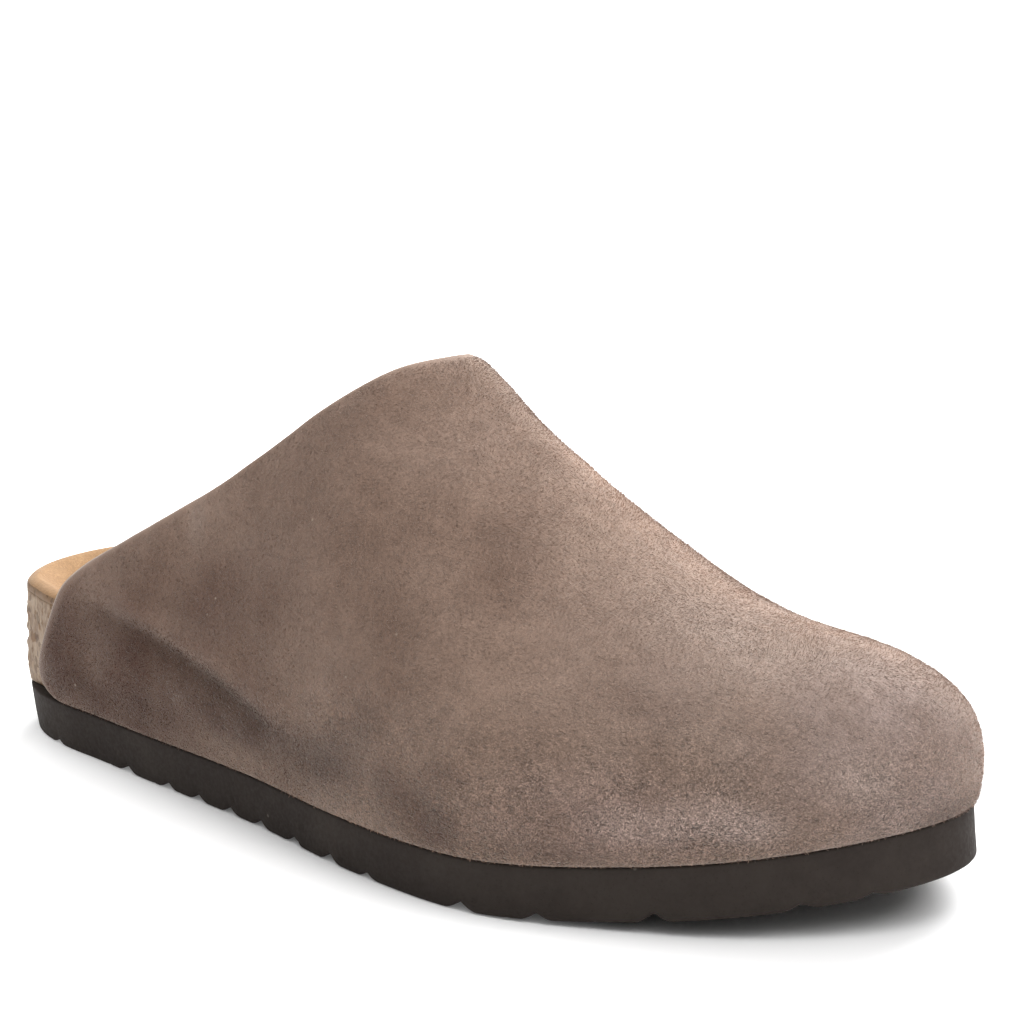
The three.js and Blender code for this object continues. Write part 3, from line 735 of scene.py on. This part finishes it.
class Graph:
    """A node tree with short calls. Each input takes a plain value or another node's socket."""

    def __init__(self, tree):
        self.tree = tree
        self.across = 0

    def put(self, node, place, value):
        if isinstance(value, bpy.types.NodeSocket):
            self.tree.links.new(value, node.inputs[place])
        else:
            node.inputs[place].default_value = value

    def node(self, kind, inputs=None, **settings):
        node = self.tree.nodes.new(kind)
        node.location = (self.across, 0)
        self.across += NODE_STEP
        for key, value in settings.items():
            setattr(node, key, value)
        for key, value in (inputs or {}).items():
            self.put(node, key, value)
        return node

    def math(self, operation, *terms, clamp=False):
        return self.node("ShaderNodeMath", dict(enumerate(terms)), operation=operation,
                         use_clamp=clamp).outputs[0]

    def times(self, a, b):
        return self.math("MULTIPLY", a, b)

    def vector(self, operation, *terms, **named):
        node = self.node("ShaderNodeVectorMath", {**dict(enumerate(terms)), **named},
                         operation=operation)
        return node.outputs["Value" if operation in ("LENGTH", "DOT_PRODUCT") else "Vector"]

    def mapped(self, vector, **values):
        return self.node("ShaderNodeMapping", {"Vector": vector, **values}).outputs[0]

    def mix(self, share, a, b, blend_type="MIX"):
        return self.node("ShaderNodeMix", {0: share, 6: a, 7: b}, data_type="RGBA",
                         blend_type=blend_type).outputs[2]

    def lit(self, colour, light):
        grey = self.node("ShaderNodeCombineColor", {"Red": light, "Green": light, "Blue": light})
        return self.mix(1.0, colour, grey.outputs[0], "MULTIPLY")

    def noise(self, vector, scale, detail=2.0, rough=0.5, out="Fac"):
        inputs = {"Vector": vector, "Scale": scale, "Detail": detail, "Roughness": rough}
        return self.node("ShaderNodeTexNoise", inputs).outputs[out]

    def cells(self, vector, scale):
        return self.node("ShaderNodeTexVoronoi", {"Vector": vector, "Scale": scale,
                                                  "Randomness": 1.0}).outputs

    def bent(self, vector, scale, reach):
        """The place, pushed about by a noise of a given scale."""
        warp = self.noise(vector, scale, out="Color")
        return self.vector("MULTIPLY_ADD", warp, (reach, reach, reach), vector)

    def clouds(self, near, wide):
        return self.math("ADD", self.times(self.noise(near, 34.0, 4.0, 0.58), 0.6),
                         self.times(self.noise(wide, 13.0, 3.0, 0.5), 0.4))

    def fit(self, value, low, high, to_low=0.0, to_high=1.0):
        inputs = {"Value": value, "From Min": low, "From Max": high,
                  "To Min": to_low, "To Max": to_high}
        return self.node("ShaderNodeMapRange", inputs,
                         interpolation_type="SMOOTHSTEP").outputs["Result"]

    def use(self, name, **inputs):
        return self.node("ShaderNodeGroup", inputs, node_tree=groups[name]).outputs

    def dusted(self, colour, vector, scale, amount, share, dust):
        """A colour with sparse small specks of dust on it."""
        specks = self.use("dust_specks", Vector=vector, Scale=scale, Amount=amount)["Mask"]
        return self.mix(self.times(specks, share), colour, dust)


def new_group(name, inputs, outputs):
    """An empty shader group: its graph, the sockets it is given and the node that it fills."""
    tree = bpy.data.node_groups.new(name, "ShaderNodeTree")
    for in_out, sockets in (("INPUT", inputs), ("OUTPUT", outputs)):
        for label, kind in sockets.items():
            tree.interface.new_socket(name=label, in_out=in_out, socket_type=kind)
    groups[name] = tree
    source = tree.nodes.new("NodeGroupInput")
    sink = tree.nodes.new("NodeGroupOutput")
    sink.location = (2400, 0)
    return Graph(tree), source.outputs, sink


def spot_group():
    """A soft mask, 1 at a centre and 0 at a reach around it."""
    graph, given, sink = new_group(
        "soft_spot", {"Vector": VECTOR, "Centre": VECTOR, "Reach": VECTOR}, {"Mask": FLOAT})
    off = graph.vector("SUBTRACT", given["Vector"], given["Centre"])
    length = graph.vector("LENGTH", graph.vector("DIVIDE", off, given["Reach"]))
    graph.put(sink, "Mask", graph.fit(length, 0.15, 1.0, 1.0, 0.0))


def nap_group():
    """Short fibres of suede: strokes lying both ways, and a fine grain between them."""
    graph, given, sink = new_group(
        "suede_nap", {"Vector": VECTOR, "Size": FLOAT},
        {"Strokes": FLOAT, "Grain": FLOAT, "Clouds": FLOAT, "Height": FLOAT})
    place, size = given["Vector"], given["Size"]
    bent = graph.bent(place, 90.0, 0.006)
    turned = graph.mapped(bent, Rotation=(0.3, 0.5, 0.35), Scale=(1.0, 2.6, 2.6))
    crossed = graph.mapped(bent, Rotation=(-0.5, 0.9, -0.6), Scale=(2.4, 1.0, 2.4))
    strokes = graph.math("MAXIMUM", graph.noise(turned, size, 3.0, 0.62),
                         graph.noise(crossed, size, 3.0, 0.62))
    fine = graph.noise(place, 2600.0, 2.0, 0.6)
    graph.put(sink, "Strokes", strokes)
    graph.put(sink, "Grain", fine)
    graph.put(sink, "Clouds", graph.clouds(bent, place))
    graph.put(sink, "Height", graph.math("MULTIPLY_ADD", fine, 0.35, graph.times(strokes, 0.65)))


def speck_group():
    """Sparse small specks of dust."""
    graph, given, sink = new_group(
        "dust_specks", {"Vector": VECTOR, "Scale": FLOAT, "Amount": FLOAT}, {"Mask": FLOAT})
    cells = graph.cells(given["Vector"], given["Scale"])
    near = graph.fit(cells["Distance"], 0.08, 0.2, 1.0, 0.0)
    split = graph.node("ShaderNodeSeparateColor", {"Color": cells["Color"]}).outputs
    chosen = graph.math("LESS_THAN", split["Red"], given["Amount"])
    graph.put(sink, "Mask", graph.times(near, chosen))


# Tone of the suede: centre and reach of each patch in the shoe's millimetres, colour and strength
# the dark patches in and under the crease low on the outer side, and at the toe's lower edge, are
# painted shade
SUEDE_TONES = [
    ((240, 0, 52), (80, 80, 60), (149, 131, 120), 0.64),
    ((268, 0, 40), (40, 50, 40), (144, 127, 122), 0.50),
    ((215, -42, 26), (55, 25, 16), (150, 128, 120), 0.50),
    ((50, -40, 28), (84, 34, 34), (72, 47, 38), 0.86),
    ((100, -42, 52), (66, 28, 34), (89, 64, 52), 0.58),
    ((62, -38, 20), (60, 20, 9), (72, 51, 43), 0.45),
    ((110, -46, 27), (24, 13, 11), (68, 46, 39), 0.66),
    ((138, -52, 26), (34, 16, 12), (75, 55, 47), 0.60),
    ((157, -55, 32), (18, 14, 12), (78, 60, 53), 0.40),
    ((168, -57, 24), (9, 14, 14), (80, 61, 54), 0.55),
    ((160, -54, 40), (9, 14, 8), (96, 78, 69), 0.35),
    ((186, -56, 33), (10, 12, 5), (86, 67, 60), 0.50),
    ((181, -57, 19), (15, 14, 9), (79, 59, 52), 0.68),
    ((89, -44, 47), (22, 12, 5), (140, 121, 109), 0.22),
    ((88, -37, 72), (5, 10, 11), (150, 138, 130), 0.25),
    ((180, -54, 43), (16, 12, 7), (138, 117, 104), 0.45),
    ((199, -55, 22), (11, 12, 6), (142, 122, 112), 0.35),
    ((208, -46, 32), (12, 10, 6), (148, 128, 117), 0.35),
    ((228, -41, 26), (20, 12, 7), (174, 155, 146), 0.58),
    ((247, -30, 27), (17, 12, 7), (174, 155, 146), 0.60),
    ((262, -8, 46), (16, 18, 13), (164, 147, 140), 0.40),
    ((207, -46, 18), (26, 12, 4), (100, 81, 73), 0.45),
    ((176, -20, 78), (16, 16, 12), (106, 86, 75), 0.40),
    ((190, -30, 56), (16, 16, 8), (108, 88, 77), 0.40),
    ((222, -30, 50), (26, 16, 6), (112, 92, 82), 0.40),
    ((150, -16, 96), (30, 26, 14), (146, 125, 112), 0.40),
    # a painted shadow along the toe's lower edge
    ((275, 24, 26), (12, 26, 9), (100, 83, 77), 0.60),
    ((106, -46, 32), (30, 16, 15), (68, 46, 39), 0.45),
    ((98, -42, 50), (14, 12, 16), (82, 60, 52), 0.28),
    ((153, -52, 47), (14, 12, 10), (88, 66, 56), 0.32),
    ((178, -57, 26), (11, 12, 9), (86, 66, 58), 0.48),
    ((175, -8, 84), (11, 10, 9), (112, 90, 78), 0.45),
    ((219, -22, 56), (14, 12, 5), (120, 99, 88), 0.32),
    ((266, -13, 37), (16, 14, 8), (178, 160, 150), 0.48),
    ((240, -35, 30), (14, 10, 7), (172, 152, 142), 0.50),
    # a painted shadow along the toe's lower edge
    ((278, 6, 26), (10, 16, 6), (86, 69, 62), 0.55),
    ((222, -41, 36), (14, 10, 6), (150, 129, 118), 0.40),
]


def tone_group():
    """The suede's colour: clouds, lighter and darker patches (some painted shade) and a few dust
    specks.
    """
    graph, given, sink = new_group("suede_tone", {"Vector": VECTOR}, {"Color": COLOR})
    place = given["Vector"]
    clouds = graph.clouds(place, place)
    colour = graph.mix(graph.fit(clouds, 0.36, 0.64), rgb(120, 98, 85), rgb(141, 119, 105))
    wander = graph.fit(graph.noise(place, 60.0, 3.0, 0.6), 0.25, 0.7, 0.55, 1.15)
    for centre, reach, tone, share in SUEDE_TONES:
        row = tuple((value - shift) / 1000 for value, shift in zip(centre, CENTRE))
        size = tuple(value / 1000 for value in reach)
        mask = graph.use("soft_spot", Vector=place, Centre=row, Reach=size)["Mask"]
        amount = graph.math("MULTIPLY", graph.times(mask, wander), share, clamp=True)
        colour = graph.mix(amount, colour, rgb(*tone))
    colour = graph.lit(colour, graph.fit(graph.noise(place, 240.0, 3.0, 0.6),
                                         0.32, 0.68, 0.93, 1.06))
    graph.put(sink, "Color", graph.dusted(colour, place, 420.0, 0.012, 0.5, rgb(178, 164, 148)))


def fuzz_group():
    """How raised the nap is: flat at the heel, rough at the toe and low on the front."""
    graph, given, sink = new_group("nap_fuzz", {"Vector": VECTOR}, {"Amount": FLOAT})
    place = given["Vector"]
    apart = graph.node("ShaderNodeSeparateXYZ", {"Vector": place}).outputs
    forward = graph.fit(apart["X"], -0.10, 0.10, 0.22, 1.0)
    low = graph.fit(apart["Z"], 0.058, 0.022, 0.40, 1.5)
    patches = graph.fit(graph.noise(place, 45.0, 3.0, 0.6), 0.3, 0.7, 0.7, 1.25)
    graph.put(sink, "Amount", graph.times(graph.times(forward, low), patches))


def new_material(name, preview):
    material = bpy.data.materials.new(name)
    material.use_nodes = True
    material.diffuse_color = preview
    material.node_tree.nodes.clear()
    graph = Graph(material.node_tree)
    out = graph.node("ShaderNodeOutputMaterial")
    out.location = (4200, 0)
    shader = graph.node("ShaderNodeBsdfPrincipled")
    shader.location = (3900, 0)
    graph.put(out, "Surface", shader.outputs[0])
    place = graph.node("ShaderNodeTexCoord").outputs["Object"]
    return material, graph, shader, place


def set_shader(graph, shader, colour, rough, specular, sheen=None, bump=None):
    """Sheen is a weight and a roughness, and a bump is a height, a strength and a depth."""
    graph.put(shader, "Base Color", colour)
    graph.put(shader, "Roughness", rough)
    shader.inputs["Specular IOR Level"].default_value = specular
    if sheen:
        shader.inputs["Sheen Weight"].default_value = sheen[0]
        shader.inputs["Sheen Roughness"].default_value = sheen[1]
    if bump:
        node = graph.node("ShaderNodeBump", dict(zip(("Height", "Strength", "Distance"), bump)))
        graph.put(shader, "Normal", node.outputs[0])


def with_painted_light(graph, light):
    """Painted shade and highlight on the crease and the ridge, from the mark that the mesh
    carries.
    """
    crease = graph.node("ShaderNodeAttribute", attribute_name="crease").outputs["Fac"]
    return graph.times(light, graph.math("MULTIPLY_ADD", crease, 0.26, 1.0))


def suede_material():
    material, graph, shader, place = new_material("suede_taupe", (0.2, 0.14, 0.11, 1))
    nap = graph.use("suede_nap", Vector=place, Size=920.0)
    fuzz = graph.use("nap_fuzz", Vector=place)["Amount"]
    stroke = graph.fit(nap["Strokes"], 0.42, 0.74, -0.40, 0.34)
    aside = graph.mapped(place, Rotation=(0, 0, -0.66), Scale=(0.42, 1.0, 1.0))
    dash = graph.fit(graph.noise(aside, 1300.0, 2.0, 0.55), 0.57, 0.70)
    pits = graph.times(dash, fuzz)
    light = graph.times(graph.math("MULTIPLY_ADD", stroke, fuzz, 1.0),
                        graph.math("MULTIPLY_ADD", pits, -0.30, 1.0))
    tone = graph.use("suede_tone", Vector=place)["Color"]
    raised = graph.times(nap["Height"], graph.math("MULTIPLY_ADD", fuzz, 0.85, 0.12))
    height = graph.math("MULTIPLY_ADD", pits, -0.35, raised)
    set_shader(graph, shader, graph.lit(tone, with_painted_light(graph, light)),
               graph.fit(nap["Grain"], 0.3, 0.7, 0.86, 1.0), 0.12, (0.6, 0.45),
               (height, 1.0, 0.0007))
    shader.inputs["Sheen Tint"].default_value = rgb(230, 218, 208)
    return material


def fibre_material():
    material, graph, shader, place = new_material("suede_fibres", (0.2, 0.14, 0.11, 1))
    tone = graph.use("suede_tone", Vector=place)["Color"]
    fuzz = graph.use("nap_fuzz", Vector=place)["Amount"]
    each = graph.noise(place, 1100.0, 1.0, 0.5)
    light = graph.math("MULTIPLY_ADD", graph.fit(each, 0.34, 0.66, -0.12, 0.72), fuzz, 1.04)
    set_shader(graph, shader, graph.lit(tone, with_painted_light(graph, light)),
               graph.fit(each, 0.3, 0.7, 0.75, 0.95), 0.15, (0.5, 0.45))
    return material


def plain_suede(name, low, high, size, bump_size):
    material, graph, shader, place = new_material(name, low)
    nap = graph.use("suede_nap", Vector=place, Size=size)
    colour = graph.mix(graph.fit(nap["Clouds"], 0.38, 0.62), low, high)
    stroke = graph.fit(nap["Strokes"], 0.44, 0.72, 0.84, 1.12)
    set_shader(graph, shader, graph.lit(colour, stroke),
               graph.fit(nap["Grain"], 0.3, 0.7, 0.8, 0.98), 0.2, (0.15, 0.4),
               (nap["Height"], 0.5, bump_size))
    return material


def cork_material():
    material, graph, shader, place = new_material("cork_raw", (0.3, 0.22, 0.15, 1))
    bent = graph.bent(place, 260.0, 0.002)
    streaks = graph.noise(graph.mapped(bent, Scale=(1.0, 1.0, 0.4)), 430.0, 3.0, 0.6)
    cells = graph.cells(bent, 620.0)
    pick = graph.node("ShaderNodeSeparateColor", {"Color": cells["Color"]}).outputs
    colour = graph.mix(graph.fit(streaks, 0.36, 0.64), rgb(122, 102, 84), rgb(166, 149, 131))
    colour = graph.mix(graph.times(pick["Red"], 0.35), colour, rgb(140, 112, 84))
    # brown blotches of the cork, and a painted brown shadow in a band under the insole's lip
    blotch = graph.fit(graph.noise(place, 210.0, 3.0, 0.6), 0.55, 0.68)
    high = graph.node("ShaderNodeSeparateXYZ", {"Vector": place}).outputs["Z"]
    lip_painted_shadow = graph.times(graph.fit(high, 0.0375, 0.0405), graph.fit(streaks, 0.4, 0.56, 0.45, 1.0))
    blotches_and_lip_shadow = graph.math("MAXIMUM", blotch, lip_painted_shadow)
    colour = graph.mix(graph.times(blotches_and_lip_shadow, 0.75), colour, rgb(106, 75, 46))
    dark = graph.times(graph.math("GREATER_THAN", pick["Green"], 0.88), 0.5)
    colour = graph.mix(dark, colour, rgb(74, 54, 40))
    height = graph.math("MULTIPLY_ADD", streaks, 0.6, graph.times(pick["Blue"], 0.25))
    height = graph.math("MULTIPLY_ADD", graph.noise(place, 1400.0, 2.0, 0.6), 0.25, height)
    set_shader(graph, shader, colour, graph.fit(streaks, 0.3, 0.7, 0.6, 0.85), 0.25,
               bump=(height, 0.9, 0.0008))
    return material


def foam_material():
    material, graph, shader, place = new_material("foam_rubber_dark", (0.04, 0.033, 0.03, 1))
    broad = graph.noise(place, 30.0, 4.0, 0.6)
    fine = graph.noise(place, 900.0, 3.0, 0.65)
    pit = graph.fit(graph.cells(place, 1100.0)["Distance"], 0.05, 0.3, 1.0, 0.0)
    colour = graph.mix(graph.fit(broad, 0.35, 0.65), rgb(47, 41, 38), rgb(55, 49, 45))
    colour = graph.mix(graph.times(pit, 0.25), colour, rgb(32, 27, 24))
    scuff = graph.fit(graph.noise(place, 75.0, 5.0, 0.7), 0.56, 0.75, 0.0, 0.30)
    colour = graph.mix(scuff, colour, rgb(64, 56, 51))
    colour = graph.dusted(colour, place, 300.0, 0.025, 0.45, rgb(120, 112, 104))
    height = graph.math("SUBTRACT", graph.times(fine, 0.6), graph.times(pit, 0.4))
    set_shader(graph, shader, colour, graph.fit(fine, 0.3, 0.7, 0.62, 0.82), 0.1,
               bump=(height, 0.35, 0.00025))
    return material


for make_group in (spot_group, nap_group, speck_group, tone_group, fuzz_group):
    make_group()

suede = suede_material()
fibres = fibre_material()
raw_edge = plain_suede("suede_raw_edge", rgb(150, 133, 121), rgb(172, 155, 142), 900.0, 0.0005)
lining = plain_suede("suede_lining", rgb(140, 116, 97), rgb(160, 136, 116), 700.0, 0.0005)
insole_leather = plain_suede("insole_leather_tan", rgb(152, 119, 85), rgb(170, 137, 101),
                             800.0, 0.0003)
cork = cork_material()
foam = foam_material()

upper = make_upper([suede, raw_edge, lining])
dress(upper, "upper")
insole = make_insole([insole_leather, cork])
dress(insole, "insole")
footbed = make_footbed(cork)
dress(footbed, "footbed")
outsole = make_outsole(foam)
dress(outsole, "outsole")


# Fibres of the nap, one thin blade each, leaning with the clouds of the suede
def fibre_tree():
    tree = bpy.data.node_groups.new("nap_fibres", "GeometryNodeTree")
    sockets = {"Geometry": GEOMETRY, "Skin": MATERIAL, "Material": MATERIAL, "Density": FLOAT,
               "Length": FLOAT, "Width": FLOAT, "Upright": FLOAT, "Seed": INTEGER}
    for label, kind in sockets.items():
        tree.interface.new_socket(name=label, in_out="INPUT", socket_type=kind)
    tree.interface.new_socket(name="Geometry", in_out="OUTPUT", socket_type=GEOMETRY)
    graph = Graph(tree)
    given = tree.nodes.new("NodeGroupInput").outputs
    sink = tree.nodes.new("NodeGroupOutput")
    # fibres grow on the suede's faces, and not along the cut edge
    chosen = graph.node("GeometryNodeMaterialSelection", {"Material": given["Skin"]}).outputs[0]
    bare = graph.node("GeometryNodeInputNamedAttribute", {"Name": "bare"}).outputs[0]
    grown = graph.times(graph.math("LESS_THAN", bare, 0.25), chosen)
    points = graph.node("GeometryNodeDistributePointsOnFaces",
                        {"Mesh": given["Geometry"], "Selection": grown,
                         "Density": given["Density"], "Seed": given["Seed"]}).outputs
    # each leans with its neighbours, a little its own way
    field = graph.noise(graph.node("GeometryNodeInputPosition").outputs[0], 55.0, 3.0, 0.6,
                        "Color")
    drift = graph.vector("MULTIPLY_ADD", field, (4.0, 4.0, 4.0), (-1.7, -1.8, -2.0))
    chance = graph.node("FunctionNodeRandomValue",
                        {0: (-0.6, -0.6, -0.6), 1: (0.6, 0.6, 0.6), "Seed": given["Seed"]},
                        data_type="FLOAT_VECTOR").outputs[0]
    up = graph.vector("SCALE", points["Normal"], Scale=given["Upright"])
    way = graph.vector("ADD", graph.vector("ADD", drift, chance), up)
    # no fibre points into the skin: what leans below it is lifted out again
    under = graph.vector("DOT_PRODUCT", way, points["Normal"])
    lift = graph.math("MAXIMUM", graph.math("SUBTRACT", 0.09, under), 0.0)
    out = graph.vector("ADD", way, graph.vector("SCALE", points["Normal"], Scale=lift))
    turned = graph.node("FunctionNodeAlignRotationToVector", {"Vector": out}, axis="Z").outputs[0]
    spin = graph.node("FunctionNodeRandomValue", {2: 0.0, 3: 6.2832}, data_type="FLOAT").outputs[1]
    about = graph.node("FunctionNodeAxisAngleToRotation",
                       {"Angle": spin, "Axis": (0, 0, 1)}).outputs[0]
    rotation = graph.node("FunctionNodeRotateRotation",
                          {"Rotation": turned, "Rotate By": about}, rotation_space="LOCAL")
    # the blade is a triangle of height and width 1, stood up and then sized
    blade = graph.node("GeometryNodeMeshCircle", {"Vertices": 3, "Radius": 0.6667},
                       fill_type="NGON").outputs[0]
    stand = graph.node("GeometryNodeTransform",
                       {"Geometry": blade, "Translation": (0, 0, 0.3333),
                        "Rotation": (math.pi / 2, 0, 0)}).outputs[0]
    size = graph.node("ShaderNodeCombineXYZ", {"X": given["Width"], "Y": given["Width"],
                                               "Z": given["Length"]}).outputs[0]
    scaled = graph.node("GeometryNodeTransform", {"Geometry": stand, "Scale": size}).outputs[0]
    vary = graph.node("FunctionNodeRandomValue", {2: 0.55, 3: 1.2}, data_type="FLOAT").outputs[1]
    laid = graph.node("GeometryNodeInstanceOnPoints",
                      {"Points": points["Points"], "Instance": scaled,
                       "Rotation": rotation.outputs[0], "Scale": vary}).outputs[0]
    real = graph.node("GeometryNodeRealizeInstances", {"Geometry": laid}).outputs[0]
    done = graph.node("GeometryNodeSetMaterial", {"Geometry": real, "Material": given["Material"]})
    graph.put(sink, 0, done.outputs[0])
    return tree


def make_fibres(name, skin, tree, values):
    """One plain mesh of fibres, grown on a copy of the skin that is then deleted."""
    base = skin.copy()
    base.parent = None
    bpy.context.scene.collection.objects.link(base)
    modifier = base.modifiers.new("fibres", "NODES")
    modifier.node_group = tree
    for item in tree.interface.items_tree:
        if item.in_out == "INPUT" and item.name in values:
            modifier[item.identifier] = values[item.name]
    bpy.context.view_layer.update()
    evaluated = base.evaluated_get(bpy.context.evaluated_depsgraph_get())
    mesh = bpy.data.meshes.new_from_object(evaluated)
    mesh.name = name
    bpy.data.objects.remove(base)
    thing = bpy.data.objects.new(name, mesh)
    bpy.context.scene.collection.objects.link(thing)
    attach(thing, "root")


# fibres to the square metre, and their sizes in metres
NAP = {"Skin": suede, "Material": fibres, "Density": 3.6e6, "Length": 0.0008, "Width": 0.00013,
       "Upright": 0.15}
nap_tree = fibre_tree()
for name, seed in (("nap_first", 3), ("nap_second", 8)):
    make_fibres(name, upper, nap_tree, {**NAP, "Seed": seed})


# Floor, lights and camera. A light has a name, a place and a size in metres, and a power in watts.
LIGHTS = [
    ("top", (0.0, 0.0, 1.5), (1.5, 1.5), 13.0),
    ("behind", (-0.3, 1.3, 0.9), (1.4, 1.0), 50.0),
    ("toe_side", (1.0, 0.15, 1.3), (1.0, 1.0), 12.0),
]
LIT_POINT = (0.0, 0.0, 0.04)
FLOOR_REACH = 25.0


def floor_material():
    colour = (0.86, 0.86, 0.86, 1)
    material, graph, shader, place = new_material("floor_white", colour)
    shade = graph.fit(graph.noise(place, 6.0, 2.0, 0.5), 0.3, 0.7, 0.995, 1.0)
    set_shader(graph, shader, graph.lit(colour, shade), 0.9, 0.1)
    # the floor glows from a little way off the shoe outwards, so that it stays white there
    around = graph.mapped(place, Scale=(7.0, 15.0, 1.0), Location=(-0.32, -0.33, 0.0))
    near = graph.fit(graph.vector("LENGTH", around), 0.88, 1.5, 0.0, 0.34)
    far = graph.fit(graph.vector("LENGTH", place), 0.5, 2.0, 0.0, 0.45)
    graph.put(shader, "Emission Strength", graph.math("ADD", near, far))
    shader.inputs["Emission Color"].default_value = (1, 1, 1, 1)
    return material


def make_floor():
    size = FLOOR_REACH
    corners = [(-size, -size, 0), (size, -size, 0), (size, size, 0), (-size, size, 0)]
    mesh = bpy.data.meshes.new("floor")
    mesh.from_pydata(corners, [], [(0, 1, 2, 3)])
    mesh.materials.append(floor_material())
    floor = bpy.data.objects.new("floor", mesh)
    bpy.context.scene.collection.objects.link(floor)


def add_light(name, place, size, power):
    light = bpy.data.lights.new(name, "AREA")
    light.shape = "RECTANGLE"
    light.size, light.size_y = size
    light.energy = power
    thing = bpy.data.objects.new(name, light)
    thing.location = place
    aim = Vector(LIT_POINT) - Vector(place)
    thing.rotation_euler = aim.to_track_quat("-Z", "Y").to_euler()
    bpy.context.scene.collection.objects.link(thing)


def make_camera():
    around, above = math.radians(CAMERA_AROUND), math.radians(CAMERA_ABOVE)
    back = Vector((math.sin(around) * math.cos(above),
                   -math.cos(around) * math.cos(above),
                   math.sin(above)))
    target = Vector([value - shift for value, shift in zip(CAMERA_TARGET, CENTRE)]) / 1000
    camera = bpy.data.cameras.new("camera")
    camera.sensor_width = SENSOR_WIDTH
    camera.lens = FOCAL_PIXELS / PICTURE_PIXELS * SENSOR_WIDTH
    camera.clip_start = 0.05
    thing = bpy.data.objects.new("camera", camera)
    thing.location = target + back * CAMERA_AWAY
    thing.rotation_euler = (-back).to_track_quat("-Z", "Y").to_euler()
    bpy.context.scene.collection.objects.link(thing)
    bpy.context.scene.camera = thing


def make_sky():
    """A sky that is bright overhead and dim at the horizon."""
    world = bpy.data.worlds.new("studio")
    world.use_nodes = True
    sky = Graph(world.node_tree)
    ray = sky.node("ShaderNodeTexCoord").outputs["Generated"]
    height = sky.node("ShaderNodeSeparateXYZ", {"Vector": ray}).outputs["Z"]
    background = world.node_tree.nodes["Background"]
    sky.put(background, "Color", (1, 1, 1, 1))
    sky.put(background, "Strength", sky.fit(height, 0.0, 0.7, 0.1, 0.66))
    bpy.context.scene.world = world


make_floor()
make_camera()
make_sky()
bpy.context.scene.view_settings.view_transform = "Standard"
for name, place, size, power in LIGHTS:
    add_light(name, place, size, power)
